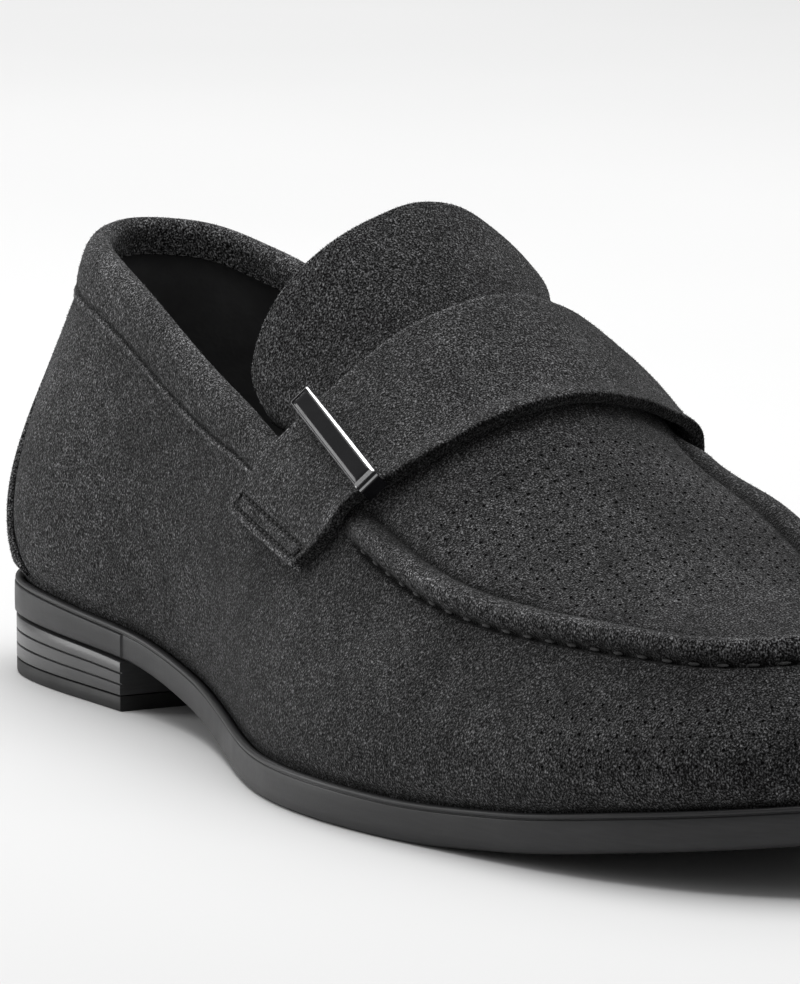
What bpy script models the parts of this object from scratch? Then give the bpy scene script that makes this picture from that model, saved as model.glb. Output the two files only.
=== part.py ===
"""Suede saddle loafer, right shoe, about EU 42: upper, tongue, strap with plate, back stay, sole and heel.

Sizes are in millimetres in the design frame: x from the back of the heel to the toe, y towards the
inner side of the foot, z up from the floor. The meshes are in metres, with the origin under the middle.
"""
import math

import bmesh
import bpy
import numpy as np

MM = 0.001

# sole outline, a row per station from the back of the heel to the toe tip
OUTLINE = [
    # outer x, outer y, inner x, inner y
    (0.4, 0.0, 0.4, 0.0),
    (3.4, -12.6, 3.4, 12.6),
    (10.6, -22.8, 10.6, 22.8),
    (20.6, -29.2, 20.6, 29.2),
    (34.0, -31.9, 34.0, 31.6),
    (52.0, -32.3, 52.0, 31.6),
    (74.0, -31.4, 74.0, 29.8),
    (104.0, -33.3, 104.0, 27.4),
    (135.0, -42.0, 135.0, 29.2),
    (165.0, -50.8, 165.0, 37.5),
    (196.0, -51.9, 196.0, 46.6),
    (225.0, -46.9, 225.0, 49.0),
    (252.0, -40.2, 252.0, 44.3),
    (274.0, -30.7, 275.0, 34.6),
    (291.0, -17.5, 292.5, 20.5),
    (302.0, 2.5, 302.0, 2.5),
]

# top edge of the side wall at the same stations: topline at the back, apron seam at the front
TOP_EDGE = [
    # outer x, y, z, inner x, y, z, crown of the apron over the line between the two edges
    (18.5, 0.0, 91.8, 18.5, 0.0, 91.8, 0.0),
    (20.5, -7.2, 91.6, 20.0, 8.0, 91.2, 0.0),
    (25.0, -12.8, 90.9, 23.0, 14.0, 90.2, 0.0),
    (32.0, -17.2, 89.9, 28.0, 19.0, 88.4, 0.0),
    (40.5, -20.4, 88.5, 36.5, 22.5, 86.0, 0.0),
    (52.5, -23.0, 86.1, 50.0, 24.5, 82.9, 10.0),
    (71.0, -25.5, 80.7, 70.0, 26.5, 77.0, 20.0),
    (97.0, -28.0, 72.0, 97.0, 29.5, 73.5, 26.0),
    (125.0, -29.5, 63.8, 125.0, 32.5, 72.5, 26.5),
    (154.0, -33.0, 56.0, 154.0, 35.0, 70.5, 23.0),
    (184.0, -36.0, 48.2, 184.0, 33.0, 59.6, 16.6),
    (211.0, -35.5, 43.2, 211.0, 31.0, 54.8, 9.0),
    (236.0, -30.0, 41.5, 237.0, 27.4, 48.8, 4.8),
    (256.5, -23.2, 41.1, 257.0, 22.6, 45.0, 2.4),
    (271.0, -14.4, 41.0, 271.5, 16.0, 43.2, 1.0),
    (279.0, 3.0, 42.2, 279.0, 3.0, 42.2, 0.0),
]

# how far the wall swells beyond the straight line from the sole to the top edge
SWELL = [
    # outer, inner
    (7.0, 7.0), (6.6, 6.6), (6.0, 6.0), (5.4, 5.6), (5.0, 5.3), (4.6, 5.0), (4.0, 4.5), (3.2, 4.2),
    (3.2, 4.2), (3.5, 4.5), (4.5, 5.0), (5.2, 6.2), (5.8, 6.6), (6.2, 6.8), (6.5, 6.8), (6.6, 6.6),
]

# side profile of the sole; flat on the floor under the ball, heel joint behind 71.5
PROFILE = [
    # x, bottom z, edge thickness
    (0.0, 12.6, 7.9), (35.0, 11.8, 7.3), (71.5, 10.2, 6.4), (100.0, 5.7, 6.9), (125.0, 2.0, 7.4),
    (145.0, 0.45, 7.7), (160.0, 0.0, 7.8), (208.0, 0.0, 7.7), (240.0, 2.1, 7.4), (270.0, 6.1, 7.3),
    (302.0, 10.8, 7.2),
]

# edge of the sole from the underside over the lip to the seat of the upper
SEAT_DEPTH = 0.8
SOLE_EDGE = [
    # inset, part of the edge thickness, rise in mm
    (9.0, 0.0, 0.0), (0.6, 0.0, 0.0), (0.05, 0.0, 0.45), (0.0, 0.45, 0.0), (0.1, 1.0, -1.9),
    (0.5, 1.0, -1.65), (0.5, 1.0, -1.4), (-0.2, 1.0, -1.1), (-0.2, 1.0, -0.5), (0.3, 1.0, 0.0),
    (1.2, 1.0, 0.0), (1.4, 1.0, -SEAT_DEPTH), (9.0, 1.0, -SEAT_DEPTH),
]

# collar roll and apron bead, from below the top edge up to it, as offsets from the plain wall
TOP_ROWS = [
    # distance below a collar edge, its offset, distance below an apron edge, its offset
    (11.8, 0.0, 10.2, 0.0), (11.1, 0.7, 4.4, 0.0), (6.0, 0.9, 3.1, -0.4),
    (2.6, 0.6, 2.3, 0.7), (0.8, -0.4, 1.1, 1.9), (0.0, -1.9, 0.0, 2.25),
]
ROLL_ROWS = [
    # distance below the collar edge, part of the padded thickness
    (0.3, 0.72), (1.4, 0.92),
]
BEAD_ROWS = [
    # distance in from the apron seam, offset
    (1.1, 2.0), (2.4, 1.2), (3.8, -0.3),
]
WALL_PARTS = (0.0, 0.025, 0.07, 0.13, 0.22, 0.35, 0.5, 0.66)
# heights of the inner side as parts of the height under the facing
INNER_PARTS = (0.86, 0.6, 0.34, 0.15, 0.0)
FACING_ROWS = [
    # distance below the edge on the inner side, part of the extra padding
    (3.0, 1.0), (7.0, 0.98), (11.5, 0.0),
]

STATIONS = len(OUTLINE) - 1
TURN = 2 * STATIONS
SECTIONS = 90
THROAT = 9
# stations over which the collar roll and its padding run out towards the throat
COLLAR_FADE = (8.3, 9.0)
PADDING_FADE = (7.4, 8.7)
FEATHER_INSET = 1.8
FEATHER_DROP = 0.5
LIP_CLEAR = 0.022
# the swell peaks low on the wall and runs out in a round shoulder at the top edge
SWELL_SCALE = 1.22
SWELL_POWER = 0.68
# station where the apron bead starts on the outer and the inner side, and the run it rises over
BEAD_START = (9.42, 9.62)
BEAD_RUN = 0.4
# apron narrower than this folds its bead in; the plain part starts at this share of the width
BEAD_FULL_WIDTH = 40.0
PLAIN_APRON = 0.16
WALL = 2.0
SEAM_WALL = 2.4
PADDING = 4.6
GAP = 0.3

HEEL_LENGTH = 71.0
BREAST_FLARE = 0.5
LIFT_HEIGHT = 3.0
LIFT_INSET = 0.05
LIFT_EDGE = 0.45
BACK_BEVEL = (9.0, 0.9)
GROOVE_DEPTH = 0.5
GROOVE_HALF = 0.2
INSOLE_THICK = 3.0
INSOLE_ROUND = 0.8
INSOLE_INSET = FEATHER_INSET + WALL + 0.6

STRAP_THICK = 2.4
STRAP_END = 0.7
STRAP_CLEAR = 0.6
STRAP_LIFT = 1.4
STRAP_SPARE = 0.5
COLLAR_SWELL = 0.9
BEAD_HEIGHT = 2.0
# edges of the strap, a row per place along it from the outer to the inner end
STRAP_EDGES = [
    # part of the length, rear station, front station
    (0.0, 7.96, 9.12), (0.095, 8.32, 9.475), (0.22, 8.65, 9.74), (0.36, 8.83, 9.94), (0.5, 8.95, 10.0),
    (0.62, 8.93, 9.97), (0.74, 8.82, 9.86), (0.86, 8.72, 9.76), (1.0, 8.6, 9.6),
]

TONGUE_THICK = 2.4
TONGUE_CLEAR = 0.45
# stations of the part under the apron, and its margin from the seams as a share of the width
TONGUE_ROOT = (9.05, 9.35, 9.6)
TONGUE_MARGIN = 0.06
# rear edge of the tongue, a row per point across from the outer to the inner side
TONGUE_EDGE = [
    # x, y, z
    (121.0, -24.5, 62.5), (117.0, -27.2, 72.0), (117.5, -25.7, 80.5), (121.0, -21.4, 90.5),
    (124.8, -14.5, 98.0), (125.5, -5.0, 102.6), (125.5, 5.0, 105.0), (126.0, 13.5, 103.7),
    (128.0, 20.8, 98.7), (131.0, 25.6, 93.3), (133.5, 29.1, 87.2), (134.0, 28.4, 78.0),
    (134.0, 26.4, 67.0),
]

STAY_THICK = 0.8
STAY_CLEAR = 0.6
STAY_HALF = (3.7, 1.5)
STAY_TOP = 0.8

# ends of the straight bar on the strap, as parts of the strap's width and length
PLATE_REAR = (-0.06, 0.214)
PLATE_FRONT = (1.0, 0.196)
PLATE_WIDTH = 4.8
PLATE_THICK = 1.8
PLATE_FLOOR = 0.9
PLATE_RIM = 0.7
POCKET_RUN = 0.05
# end turned down over the strap's front edge: clear of the edge, thickness, drop
PLATE_TURN = (0.4, 0.9, 2.2)
INLAY_CLEAR = 0.2
INLAY_SUNK = 0.15


def loop_values(rows, outer, inner):
    """One value per station, out along the outer side and back along the inner side."""
    out = [row[outer] for row in rows]
    back = [row[inner] for row in rows]
    return out + back[-2:0:-1]


class Loop:
    """Closed cubic curve through one value per station."""

    def __init__(self, values):
        self.value = np.array(values, float)
        count = len(values)
        lines = 4.0 * np.eye(count) + np.roll(np.eye(count), 1, 0) + np.roll(np.eye(count), -1, 0)
        self.slope = np.linalg.solve(lines, 3.0 * (np.roll(self.value, -1) - np.roll(self.value, 1)))

    def __call__(self, t):
        t = np.asarray(t, float)
        first = np.floor(t).astype(int)
        f = t - first
        a = first % len(self.value)
        b = (first + 1) % len(self.value)
        rise = (3 - 2 * f) * f * f
        return ((1 - rise) * self.value[a] + rise * self.value[b]
                + f * (1 - f) ** 2 * self.slope[a] - f * f * (1 - f) * self.slope[b])


class Profile:
    """Monotone cubic through a table column, so that flat rows stay flat."""

    def __init__(self, rows, column):
        self.x = np.array([row[0] for row in rows], float)
        self.y = np.array([row[column] for row in rows], float)
        step = np.diff(self.y) / np.diff(self.x)
        self.m = np.zeros(len(rows))
        self.m[0] = step[0]
        self.m[-1] = step[-1]
        for i in range(1, len(rows) - 1):
            if step[i - 1] * step[i] > 0:
                self.m[i] = 2 * step[i - 1] * step[i] / (step[i - 1] + step[i])

    def __call__(self, x):
        x = np.clip(np.asarray(x, float), self.x[0], self.x[-1])
        i = np.clip(np.searchsorted(self.x, x, side="right") - 1, 0, len(self.x) - 2)
        width = self.x[i + 1] - self.x[i]
        f = (x - self.x[i]) / width
        rise = (3 - 2 * f) * f * f
        return ((1 - rise) * self.y[i] + rise * self.y[i + 1]
                + width * (f * (1 - f) ** 2 * self.m[i] - f * f * (1 - f) * self.m[i + 1]))


sole_x = Loop(loop_values(OUTLINE, 0, 2))
sole_y = Loop(loop_values(OUTLINE, 1, 3))
top_x = Loop(loop_values(TOP_EDGE, 0, 3))
top_y = Loop(loop_values(TOP_EDGE, 1, 4))
top_z = Loop(loop_values(TOP_EDGE, 2, 5))
crown = Loop(loop_values(TOP_EDGE, 6, 6))
swell = Loop(loop_values(SWELL, 0, 1))
bottom_z = Profile(PROFILE, 1)
edge_thick = Profile(PROFILE, 2)
strap_rear = Profile(STRAP_EDGES, 1)
strap_front = Profile(STRAP_EDGES, 2)


def smooth(low, high, x):
    """Smooth step from 0 at low to 1 at high."""
    f = np.clip((np.asarray(x, float) - low) / (high - low), 0.0, 1.0)
    return f * f * (3 - 2 * f)


def unit(v):
    return v / np.linalg.norm(v, axis=-1, keepdims=True)


def along(t):
    """Station number along the shoe, the same on both sides."""
    t = np.mod(t, TURN)
    return np.minimum(t, TURN - t)


def plan_normal(t):
    """Direction out of the sole's outline in plan."""
    small = 1e-3
    dx = sole_x(t + small) - sole_x(t - small)
    dy = sole_y(t + small) - sole_y(t - small)
    size = np.hypot(dx, dy)
    return dy / size, -dx / size


def outline(t, inset, z):
    """Points on the sole's outline moved in by inset, at height z."""
    nx, ny = plan_normal(t)
    return np.stack([sole_x(t) - inset * nx, sole_y(t) - inset * ny, np.broadcast_to(z, np.shape(t))], -1)


def sole_top(t):
    return bottom_z(sole_x(t)) + edge_thick(sole_x(t))


def top_edge(t):
    return np.stack([top_x(t), top_y(t), top_z(t)], -1)


def wall(t, s):
    """Outer side of the wall, from the sole (s = 0) to the top edge (s = 1)."""
    t, s = np.broadcast_arrays(np.asarray(t, float), np.asarray(s, float))
    nx, ny = plan_normal(t)
    foot = outline(t, FEATHER_INSET, sole_top(t) - FEATHER_DROP)
    point = foot + (top_edge(t) - foot) * s[..., None]
    chord = unit(top_edge(t) - foot)
    level = np.stack([nx, ny, np.zeros_like(nx)], -1)
    out = unit(level - chord * np.sum(level * chord, -1, keepdims=True))
    rise = np.clip((s - LIP_CLEAR) / (1 - LIP_CLEAR), 0, 1)
    bulge = swell(t) * SWELL_SCALE * np.sin(math.pi * rise ** SWELL_POWER) * np.sqrt(1 - rise)
    return point + out * bulge[..., None]


def wall_normal(t, s):
    small = 1e-3
    s = np.clip(s, 0.03, 0.97)
    across = wall(t + small, s) - wall(t - small, s)
    upward = wall(t, s + small) - wall(t, s - small)
    return unit(np.cross(across, upward))


def apron(t, a):
    """Apron from the outer seam (a = 0) to the inner seam (a = 1) at station t."""
    t, a = np.broadcast_arrays(np.asarray(t, float), np.asarray(a, float))
    point = top_edge(t) + (top_edge(TURN - t) - top_edge(t)) * a[..., None]
    point[..., 2] += 4 * crown(t) * a * (1 - a)
    return point


def apron_normal(t, a):
    small = 1e-3
    t = np.clip(t, THROAT - 2.0, STATIONS - 0.15)
    a = np.clip(a, 0.02, 0.98)
    ahead = apron(t + small, a) - apron(t - small, a)
    across = apron(t, a + small) - apron(t, a - small)
    return unit(np.cross(ahead, across))


def edge_normal(t):
    """Direction out of the seam between wall and apron."""
    k = along(t)
    side = (np.mod(t, TURN) > STATIONS).astype(float)
    return unit(wall_normal(t, np.full_like(k, 0.97)) + apron_normal(k, side))


def collar_share(t):
    """1 along the collar, 0 along the apron seam; the change lies under the strap."""
    return 1 - smooth(*COLLAR_FADE, along(t))


def bead_share(t):
    """0 under the strap, 1 along the raised apron seam in front of it."""
    start = np.where(np.mod(t, TURN) > STATIONS, BEAD_START[1], BEAD_START[0])
    return smooth(0.0, BEAD_RUN, along(t) - start)


def wall_length(t):
    foot = outline(t, FEATHER_INSET, sole_top(t) - FEATHER_DROP)
    return np.linalg.norm(top_edge(t) - foot, axis=-1)


def upper_rows():
    """Rows of the upper around the shoe: outer side, collar roll, inner side."""
    t = np.arange(SECTIONS) * TURN / SECTIONS
    share = collar_share(t)[:, None]
    bead = bead_share(t)[:, None]
    length = wall_length(t)[:, None]
    pad = (WALL + (PADDING - WALL) * (1 - smooth(*PADDING_FADE, along(t))))[:, None]
    outer = [wall(t, np.full_like(t, s)) for s in WALL_PARTS]
    for collar_down, collar_off, apron_down, apron_off in TOP_ROWS:
        down = share * collar_down + (1 - share) * apron_down
        off = share * collar_off + (1 - share) * bead * apron_off
        s = (1 - down / length)[:, 0]
        out = unit(share * wall_normal(t, s) + (1 - share) * edge_direction(t, s, apron_down))
        outer.append(wall(t, s) + out * off)
    roll = []
    for down, part in ROLL_ROWS:
        s = (1 - down / length)[:, 0]
        roll.append(wall(t, s) - wall_normal(t, s) * pad * part)
    inner = []
    for down, part in FACING_ROWS:
        s = (1 - down / length)[:, 0]
        thick = WALL + (pad - WALL) * part
        inner.append(wall(t, s) - wall_normal(t, s) * thick)
    low = (1 - FACING_ROWS[-1][0] / length)[:, 0]
    for part in INNER_PARTS:
        inner.append(wall(t, low * part) - wall_normal(t, low * part) * WALL)
    seam = top_edge(t) - edge_normal(t) * SEAM_WALL
    inner[0] = share * inner[0] + (1 - share) * seam
    return t, outer, roll, inner


def edge_direction(t, s, down):
    """Offset direction near the apron seam: wall side low down, seam direction at the top."""
    blend = math.exp(-down / 1.5)
    return unit((1 - blend) * wall_normal(t, s) + blend * edge_normal(t))


def add_grid(bm, rows, wrap=False):
    """Quads between rows of vertices."""
    for low, high in zip(rows[:-1], rows[1:]):
        count = len(low) if wrap else len(low) - 1
        for i in range(count):
            j = (i + 1) % len(low)
            corners = []
            for vertex in (low[i], low[j], high[j], high[i]):
                if vertex not in corners:
                    corners.append(vertex)
            if len(corners) > 2:
                bm.faces.new(corners)


def add_points(bm, points):
    return [bm.verts.new(p * MM) for p in points]


def add_cap(bm, ring):
    """Rungs across a ring that starts at one end of its long axis."""
    count = len(ring)
    for i in range(count // 2):
        corners = []
        for vertex in (ring[i], ring[i + 1], ring[(count - i - 1) % count], ring[(count - i) % count]):
            if vertex not in corners:
                corners.append(vertex)
        if len(corners) > 2:
            bm.faces.new(corners)


def lofted(rings):
    """Closed solid through closed rings, with a cap on the first and the last."""
    bm = bmesh.new()
    rows = [add_points(bm, ring) for ring in rings]
    add_grid(bm, rows, wrap=True)
    add_cap(bm, rows[0])
    add_cap(bm, rows[-1])
    return bm


def shell(under, over):
    """Closed solid between two grids of points of the same size."""
    bm = bmesh.new()
    low = [add_points(bm, row) for row in under]
    high = [add_points(bm, row) for row in over]
    add_grid(bm, low)
    add_grid(bm, high)
    add_grid(bm, [low[0], high[0]])
    add_grid(bm, [low[-1], high[-1]])
    add_grid(bm, [[row[0] for row in low], [row[0] for row in high]])
    add_grid(bm, [[row[-1] for row in low], [row[-1] for row in high]])
    return bm


def make_outsole():
    t = np.arange(SECTIONS) * TURN / SECTIONS
    low = bottom_z(sole_x(t))
    thick = edge_thick(sole_x(t))
    rings = []
    for inset, part, rise in SOLE_EDGE:
        ring = outline(t, inset, low + thick * part + rise)
        ring[:, 2] = bottom_z(ring[:, 0]) + edge_thick(ring[:, 0]) * part + rise
        rings.append(ring)
    return lofted(rings)


def make_insole():
    t = np.arange(SECTIONS) * TURN / SECTIONS
    rings = []
    for inset, rise in ((INSOLE_ROUND, 0.0), (0.0, INSOLE_ROUND), (0.0, INSOLE_THICK - INSOLE_ROUND),
                        (INSOLE_ROUND, INSOLE_THICK)):
        ring = outline(t, INSOLE_INSET + inset, 0.0)
        seat = bottom_z(ring[:, 0]) + edge_thick(ring[:, 0]) - SEAT_DEPTH
        ring[:, 2] = seat + GAP + rise
        rings.append(ring)
    return lofted(rings)


def heel_outline():
    """Stations of the heel from the outer breast corner round the back to the inner one."""
    half = np.linspace(0.0, 6.0, 400)
    outer_end = np.interp(HEEL_LENGTH, sole_x(half), half)
    inner_end = np.interp(HEEL_LENGTH, sole_x(TURN - half), half)
    return np.concatenate([np.linspace(outer_end, 0.0, 19), -np.linspace(0.0, inner_end, 19)[1:]])


def heel_solid(levels):
    """Heel layer through (inset, height function) levels; the breast is flat."""
    t = heel_outline()
    bm = bmesh.new()
    rows = []
    for inset, height in levels:
        ring = outline(t, inset - BREAST_FLARE * smooth(5.0, 6.0, along(t)), 0.0)
        ring[0, 0] = HEEL_LENGTH
        ring[-1, 0] = HEEL_LENGTH
        ring[:, 2] = height(ring[:, 0])
        rows.append(add_points(bm, ring))
    add_grid(bm, rows, wrap=True)
    for ring in (rows[0], rows[-1]):
        for i in range(len(ring) // 2):
            corners = []
            for vertex in (ring[i], ring[i + 1], ring[-i - 2], ring[-i - 1]):
                if vertex not in corners:
                    corners.append(vertex)
            if len(corners) > 2:
                bm.faces.new(corners)
    return bm


def make_heel():
    def level(part, rise=0.0):
        def height(x):
            low = LIFT_HEIGHT + GAP
            return low + (bottom_z(x) - GAP - low) * part + rise
        return height
    levels = [(0.0, level(0.0))]
    for part in (1 / 3, 2 / 3):
        levels.append((0.0, level(part, -GROOVE_HALF)))
        levels.append((GROOVE_DEPTH, level(part, -0.4 * GROOVE_HALF)))
        levels.append((GROOVE_DEPTH, level(part, 0.4 * GROOVE_HALF)))
        levels.append((0.0, level(part, GROOVE_HALF)))
    levels.append((0.0, level(1.0)))
    return heel_solid(levels)


def make_top_lift():
    run, rise = BACK_BEVEL

    def floor(x):
        return rise * np.clip((run - x) / run, 0.0, 1.0)
    return heel_solid([
        (LIFT_INSET + LIFT_EDGE, floor),
        (LIFT_INSET, lambda x: floor(x) + LIFT_EDGE),
        (LIFT_INSET, lambda x: np.full_like(x, LIFT_HEIGHT)),
    ])


def apron_parts(k):
    """Places across the apron with their bead offsets: a rolled seam on each side, plain between."""
    width = np.linalg.norm(top_edge(TURN - k) - top_edge(k)) + 2 * crown(k)
    fold = min(1.0, width / BEAD_FULL_WIDTH)
    near = [(fold * down / width, off) for down, off in BEAD_ROWS]
    plain = [(part, 0.0) for part in np.linspace(PLAIN_APRON, 1 - PLAIN_APRON, 7)]
    far = [(1 - part, off) for part, off in reversed(near)]
    return near + plain + far


def make_upper():
    t, outer_rows, roll_rows, inner_rows = upper_rows()
    bm = bmesh.new()
    outer = [add_points(bm, row) for row in outer_rows]
    roll = [add_points(bm, row) for row in roll_rows]
    inner = [add_points(bm, row) for row in inner_rows]
    add_grid(bm, outer, wrap=True)
    add_grid(bm, inner, wrap=True)
    add_grid(bm, [inner[-1], outer[0]], wrap=True)
    first = THROAT * SECTIONS // TURN
    toe = SECTIONS // 2
    collar = [i % SECTIONS for i in range(SECTIONS - first, SECTIONS + first + 1)]
    rim = [outer[-1]] + roll + [inner[0]]
    add_grid(bm, [[row[i] for i in collar] for row in rim])
    for end in (first, SECTIONS - first):
        bm.faces.new([row[end] for row in rim])
    over = []
    under = []
    for i in range(first, toe):
        mirror = SECTIONS - i
        k = t[i]
        over_row = []
        under_row = []
        for part, lift in apron_parts(k):
            point = apron(k, part)
            out = apron_normal(k, part)
            share = bead_share(k if part < 0.5 else TURN - k)
            over_row.append(point + out * lift * share)
            under_row.append(point - out * WALL)
        over.append([outer[-1][i]] + add_points(bm, over_row) + [outer[-1][mirror]])
        under.append([inner[0][i]] + add_points(bm, under_row) + [inner[0][mirror]])
    over.append([outer[-1][toe]] * len(over[0]))
    under.append([inner[0][toe]] * len(under[0]))
    add_grid(bm, over)
    add_grid(bm, under)
    add_grid(bm, [over[0], under[0]])
    return bm


def girth(tau, height):
    """Smooth line of control points over the instep at station tau, height above the upper."""
    tau = np.float64(tau)
    seat = height + COLLAR_SWELL * collar_share(tau)
    sides = []
    for t in (tau, TURN - tau):
        side = []
        for s, spare in ((STRAP_END, 0.0), (0.82, 0.0), (0.92, STRAP_SPARE)):
            side.append(wall(t, s) + wall_normal(t, np.float64(s)) * (seat + spare))
        side.append(top_edge(t) + edge_normal(t) * (height + STRAP_SPARE + BEAD_HEIGHT * bead_share(t)))
        sides.append(side)
    half = [(0.1, STRAP_SPARE), (0.22, 0.0), (0.36, 0.0)]
    across = half + [(0.5, 0.0)] + [(1 - a, spare) for a, spare in reversed(half)]
    over = [apron(tau, a) + apron_normal(tau, np.float64(a)) * (height + spare) for a, spare in across]
    return np.array(sides[0] + over + sides[1][::-1])


def through(points, q):
    """Cubic through control points, q from 0 to 1 along them by length."""
    size = np.linalg.norm(np.diff(points, axis=0), axis=1)
    at = np.concatenate([[0.0], np.cumsum(size)]) / np.sum(size)
    slope = np.gradient(points, at, axis=0)
    i = int(np.clip(np.searchsorted(at, q, side="right") - 1, 0, len(at) - 2))
    width = at[i + 1] - at[i]
    f = (q - at[i]) / width
    rise = (3 - 2 * f) * f * f
    return ((1 - rise) * points[i] + rise * points[i + 1]
            + width * (f * (1 - f) ** 2 * slope[i] - f * f * (1 - f) * slope[i + 1]))


def strap_point(f, q, height):
    """Point of the strap: f from its rear to its front edge, q from the outer to the inner end."""
    rear = strap_rear(q)
    front = strap_front(q)
    return through(girth(rear + (front - rear) * f, height), q)


def stand_off(f, q):
    """How far the strap's front edge stands off the apron."""
    return STRAP_LIFT * smooth(0.8, 1.0, f) * math.sin(math.pi * q) ** 2


def make_strap():
    fs = np.linspace(0.0, 1.0, 9)
    qs = np.linspace(0.0, 1.0, 31)
    under = []
    over = []
    for f in fs:
        under.append([strap_point(f, q, STRAP_CLEAR + stand_off(f, q)) for q in qs])
        over.append([strap_point(f, q, STRAP_CLEAR + STRAP_THICK + stand_off(f, q)) for q in qs])
    return shell(under, over)


def plate_frame():
    """Straight bar's place: rear end of its underside, directions along, across and out, its length."""
    seat = STRAP_CLEAR + STRAP_THICK
    rear = strap_point(*PLATE_REAR, seat)
    front = strap_point(*PLATE_FRONT, seat + stand_off(*PLATE_FRONT))
    ahead = unit(front - rear)
    middle = (PLATE_REAR[1] + PLATE_FRONT[1]) / 2
    across = strap_point(0.5, middle + 0.01, seat) - strap_point(0.5, middle - 0.01, seat)
    across = unit(across - ahead * np.dot(across, ahead))
    out = np.cross(ahead, across)
    rise = 0.0
    reach = 0.0
    for f in np.linspace(0.0, 1.0, 9):
        for side in (-0.02, -0.01, 0.0, 0.01, 0.02):
            q = PLATE_REAR[1] + (PLATE_FRONT[1] - PLATE_REAR[1]) * f + side
            for height in (STRAP_CLEAR, seat):
                point = strap_point(f, q, height + stand_off(f, q)) - rear
                rise = max(rise, np.dot(point, out))
                reach = max(reach, np.dot(point, ahead))
    return rear + out * (rise + GAP), ahead, across, out, reach


def make_plate_frame():
    """Bar over the strap: a rim round a shallow pocket, its front end turned down over the strap's edge."""
    rear, ahead, across, out, length = plate_frame()
    clear, leg, drop = PLATE_TURN
    half_width = PLATE_WIDTH / 2
    inner_width = half_width - PLATE_RIM
    # under and over sides of the bar, as distance along it and height
    under_line = [(0.0, 0.0), (PLATE_RIM, 0.0), (PLATE_RIM + POCKET_RUN, 0.0), (length / 2, 0.0)]
    under_line += [(length - PLATE_RIM - POCKET_RUN, 0.0), (length - PLATE_RIM, 0.0)]
    under_line += [(length + clear, 0.0), (length + clear, -drop)]
    over_line = [(u, PLATE_THICK) for u, _ in under_line[:6]]
    over_line += [(length + clear + leg, PLATE_THICK - leg), (length + clear + leg, -drop)]
    across_bar = [-half_width, -inner_width, -inner_width + POCKET_RUN]
    across_bar += [0.0, inner_width - POCKET_RUN, inner_width, half_width]
    under = []
    over = []
    for v in across_bar:
        low = []
        high = []
        for i, (below, above) in enumerate(zip(under_line, over_line)):
            pocket = 2 <= i <= 4 and abs(v) < inner_width
            height = PLATE_FLOOR if pocket else above[1]
            low.append(rear + ahead * below[0] + across * v + out * below[1])
            high.append(rear + ahead * above[0] + across * v + out * height)
        under.append(low)
        over.append(high)
    return shell(under, over)


def make_plate_inlay():
    """Enamel field in the pocket of the bar."""
    rear, ahead, across, out, length = plate_frame()
    ends = (PLATE_RIM + GAP, length - PLATE_RIM - GAP)
    half_width = PLATE_WIDTH / 2 - PLATE_RIM - GAP
    grids = []
    for height in (PLATE_FLOOR + INLAY_CLEAR, PLATE_THICK - INLAY_SUNK):
        rows = []
        for v in (-half_width, 0.0, half_width):
            rows.append([rear + ahead * u + across * v + out * height for u in np.linspace(*ends, 5)])
        grids.append(rows)
    return shell(*grids)


def tongue_grid(depth):
    """Tongue surface from its rear edge to under the apron, depth below the apron's outer side."""
    across = np.linspace(0.0, 1.0, 17)
    edge = np.array(TONGUE_EDGE)
    rear = np.array([through(edge, a) for a in across])
    rows = []
    for k in TONGUE_ROOT:
        a = TONGUE_MARGIN + (1 - 2 * TONGUE_MARGIN) * across
        rows.append(apron(k, a) - apron_normal(np.full_like(a, k), a) * depth)
    ahead = unit(rows[1] - rows[0])
    spans = np.linalg.norm(rows[0] - rear, axis=1)[:, None]
    lift = unit(rows[0] - rear)
    grid = [rear]
    for f in (0.16, 0.34, 0.52, 0.7, 0.86):
        rise = (3 - 2 * f) * f * f
        start = rear * (1 - rise) + rows[0] * rise
        grid.append(start + spans * (f * (1 - f) ** 2 * lift - f * f * (1 - f) * ahead))
    return grid + rows


def make_tongue():
    over = tongue_grid(WALL + TONGUE_CLEAR)
    sides = np.array(over)
    ahead = np.gradient(sides, axis=0)
    across = np.gradient(sides, axis=1)
    out = unit(np.cross(ahead, across))
    return shell(list(sides - out * TONGUE_THICK), over)


def make_back_stay():
    ss = (*WALL_PARTS[1:], 0.76, STAY_TOP)
    parts = np.linspace(-1.0, 1.0, 13)
    under = []
    over = []
    for s in ss:
        half = STAY_HALF[1] + (STAY_HALF[0] - STAY_HALF[1]) * (1 - s) ** 3
        t = parts * half
        out = wall_normal(t, np.full_like(t, s))
        under.append(wall(t, np.full_like(t, s)) + out * STAY_CLEAR)
        over.append(wall(t, np.full_like(t, s)) + out * (STAY_CLEAR + STAY_THICK))
    return shell(under, over)


def material(name, colour, roughness, metallic=0.0):
    made = bpy.data.materials.new(name)
    made.use_nodes = True
    shader = made.node_tree.nodes["Principled BSDF"]
    shader.inputs["Base Color"].default_value = (*colour, 1.0)
    shader.inputs["Roughness"].default_value = roughness
    shader.inputs["Metallic"].default_value = metallic
    return made


def place(name, bm, look, centre, group):
    """Object from a closed mesh, moved so that the origin lies under the middle of the shoe."""
    bmesh.ops.recalc_face_normals(bm, faces=bm.faces)
    bmesh.ops.translate(bm, verts=bm.verts, vec=(-centre[0], -centre[1], 0.0))
    mesh = bpy.data.meshes.new(name)
    bm.to_mesh(mesh)
    bm.free()
    mesh.materials.append(look)
    mesh.shade_smooth()
    mesh.set_sharp_from_angle(angle=math.radians(40))
    group.objects.link(bpy.data.objects.new(name, mesh))


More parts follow.
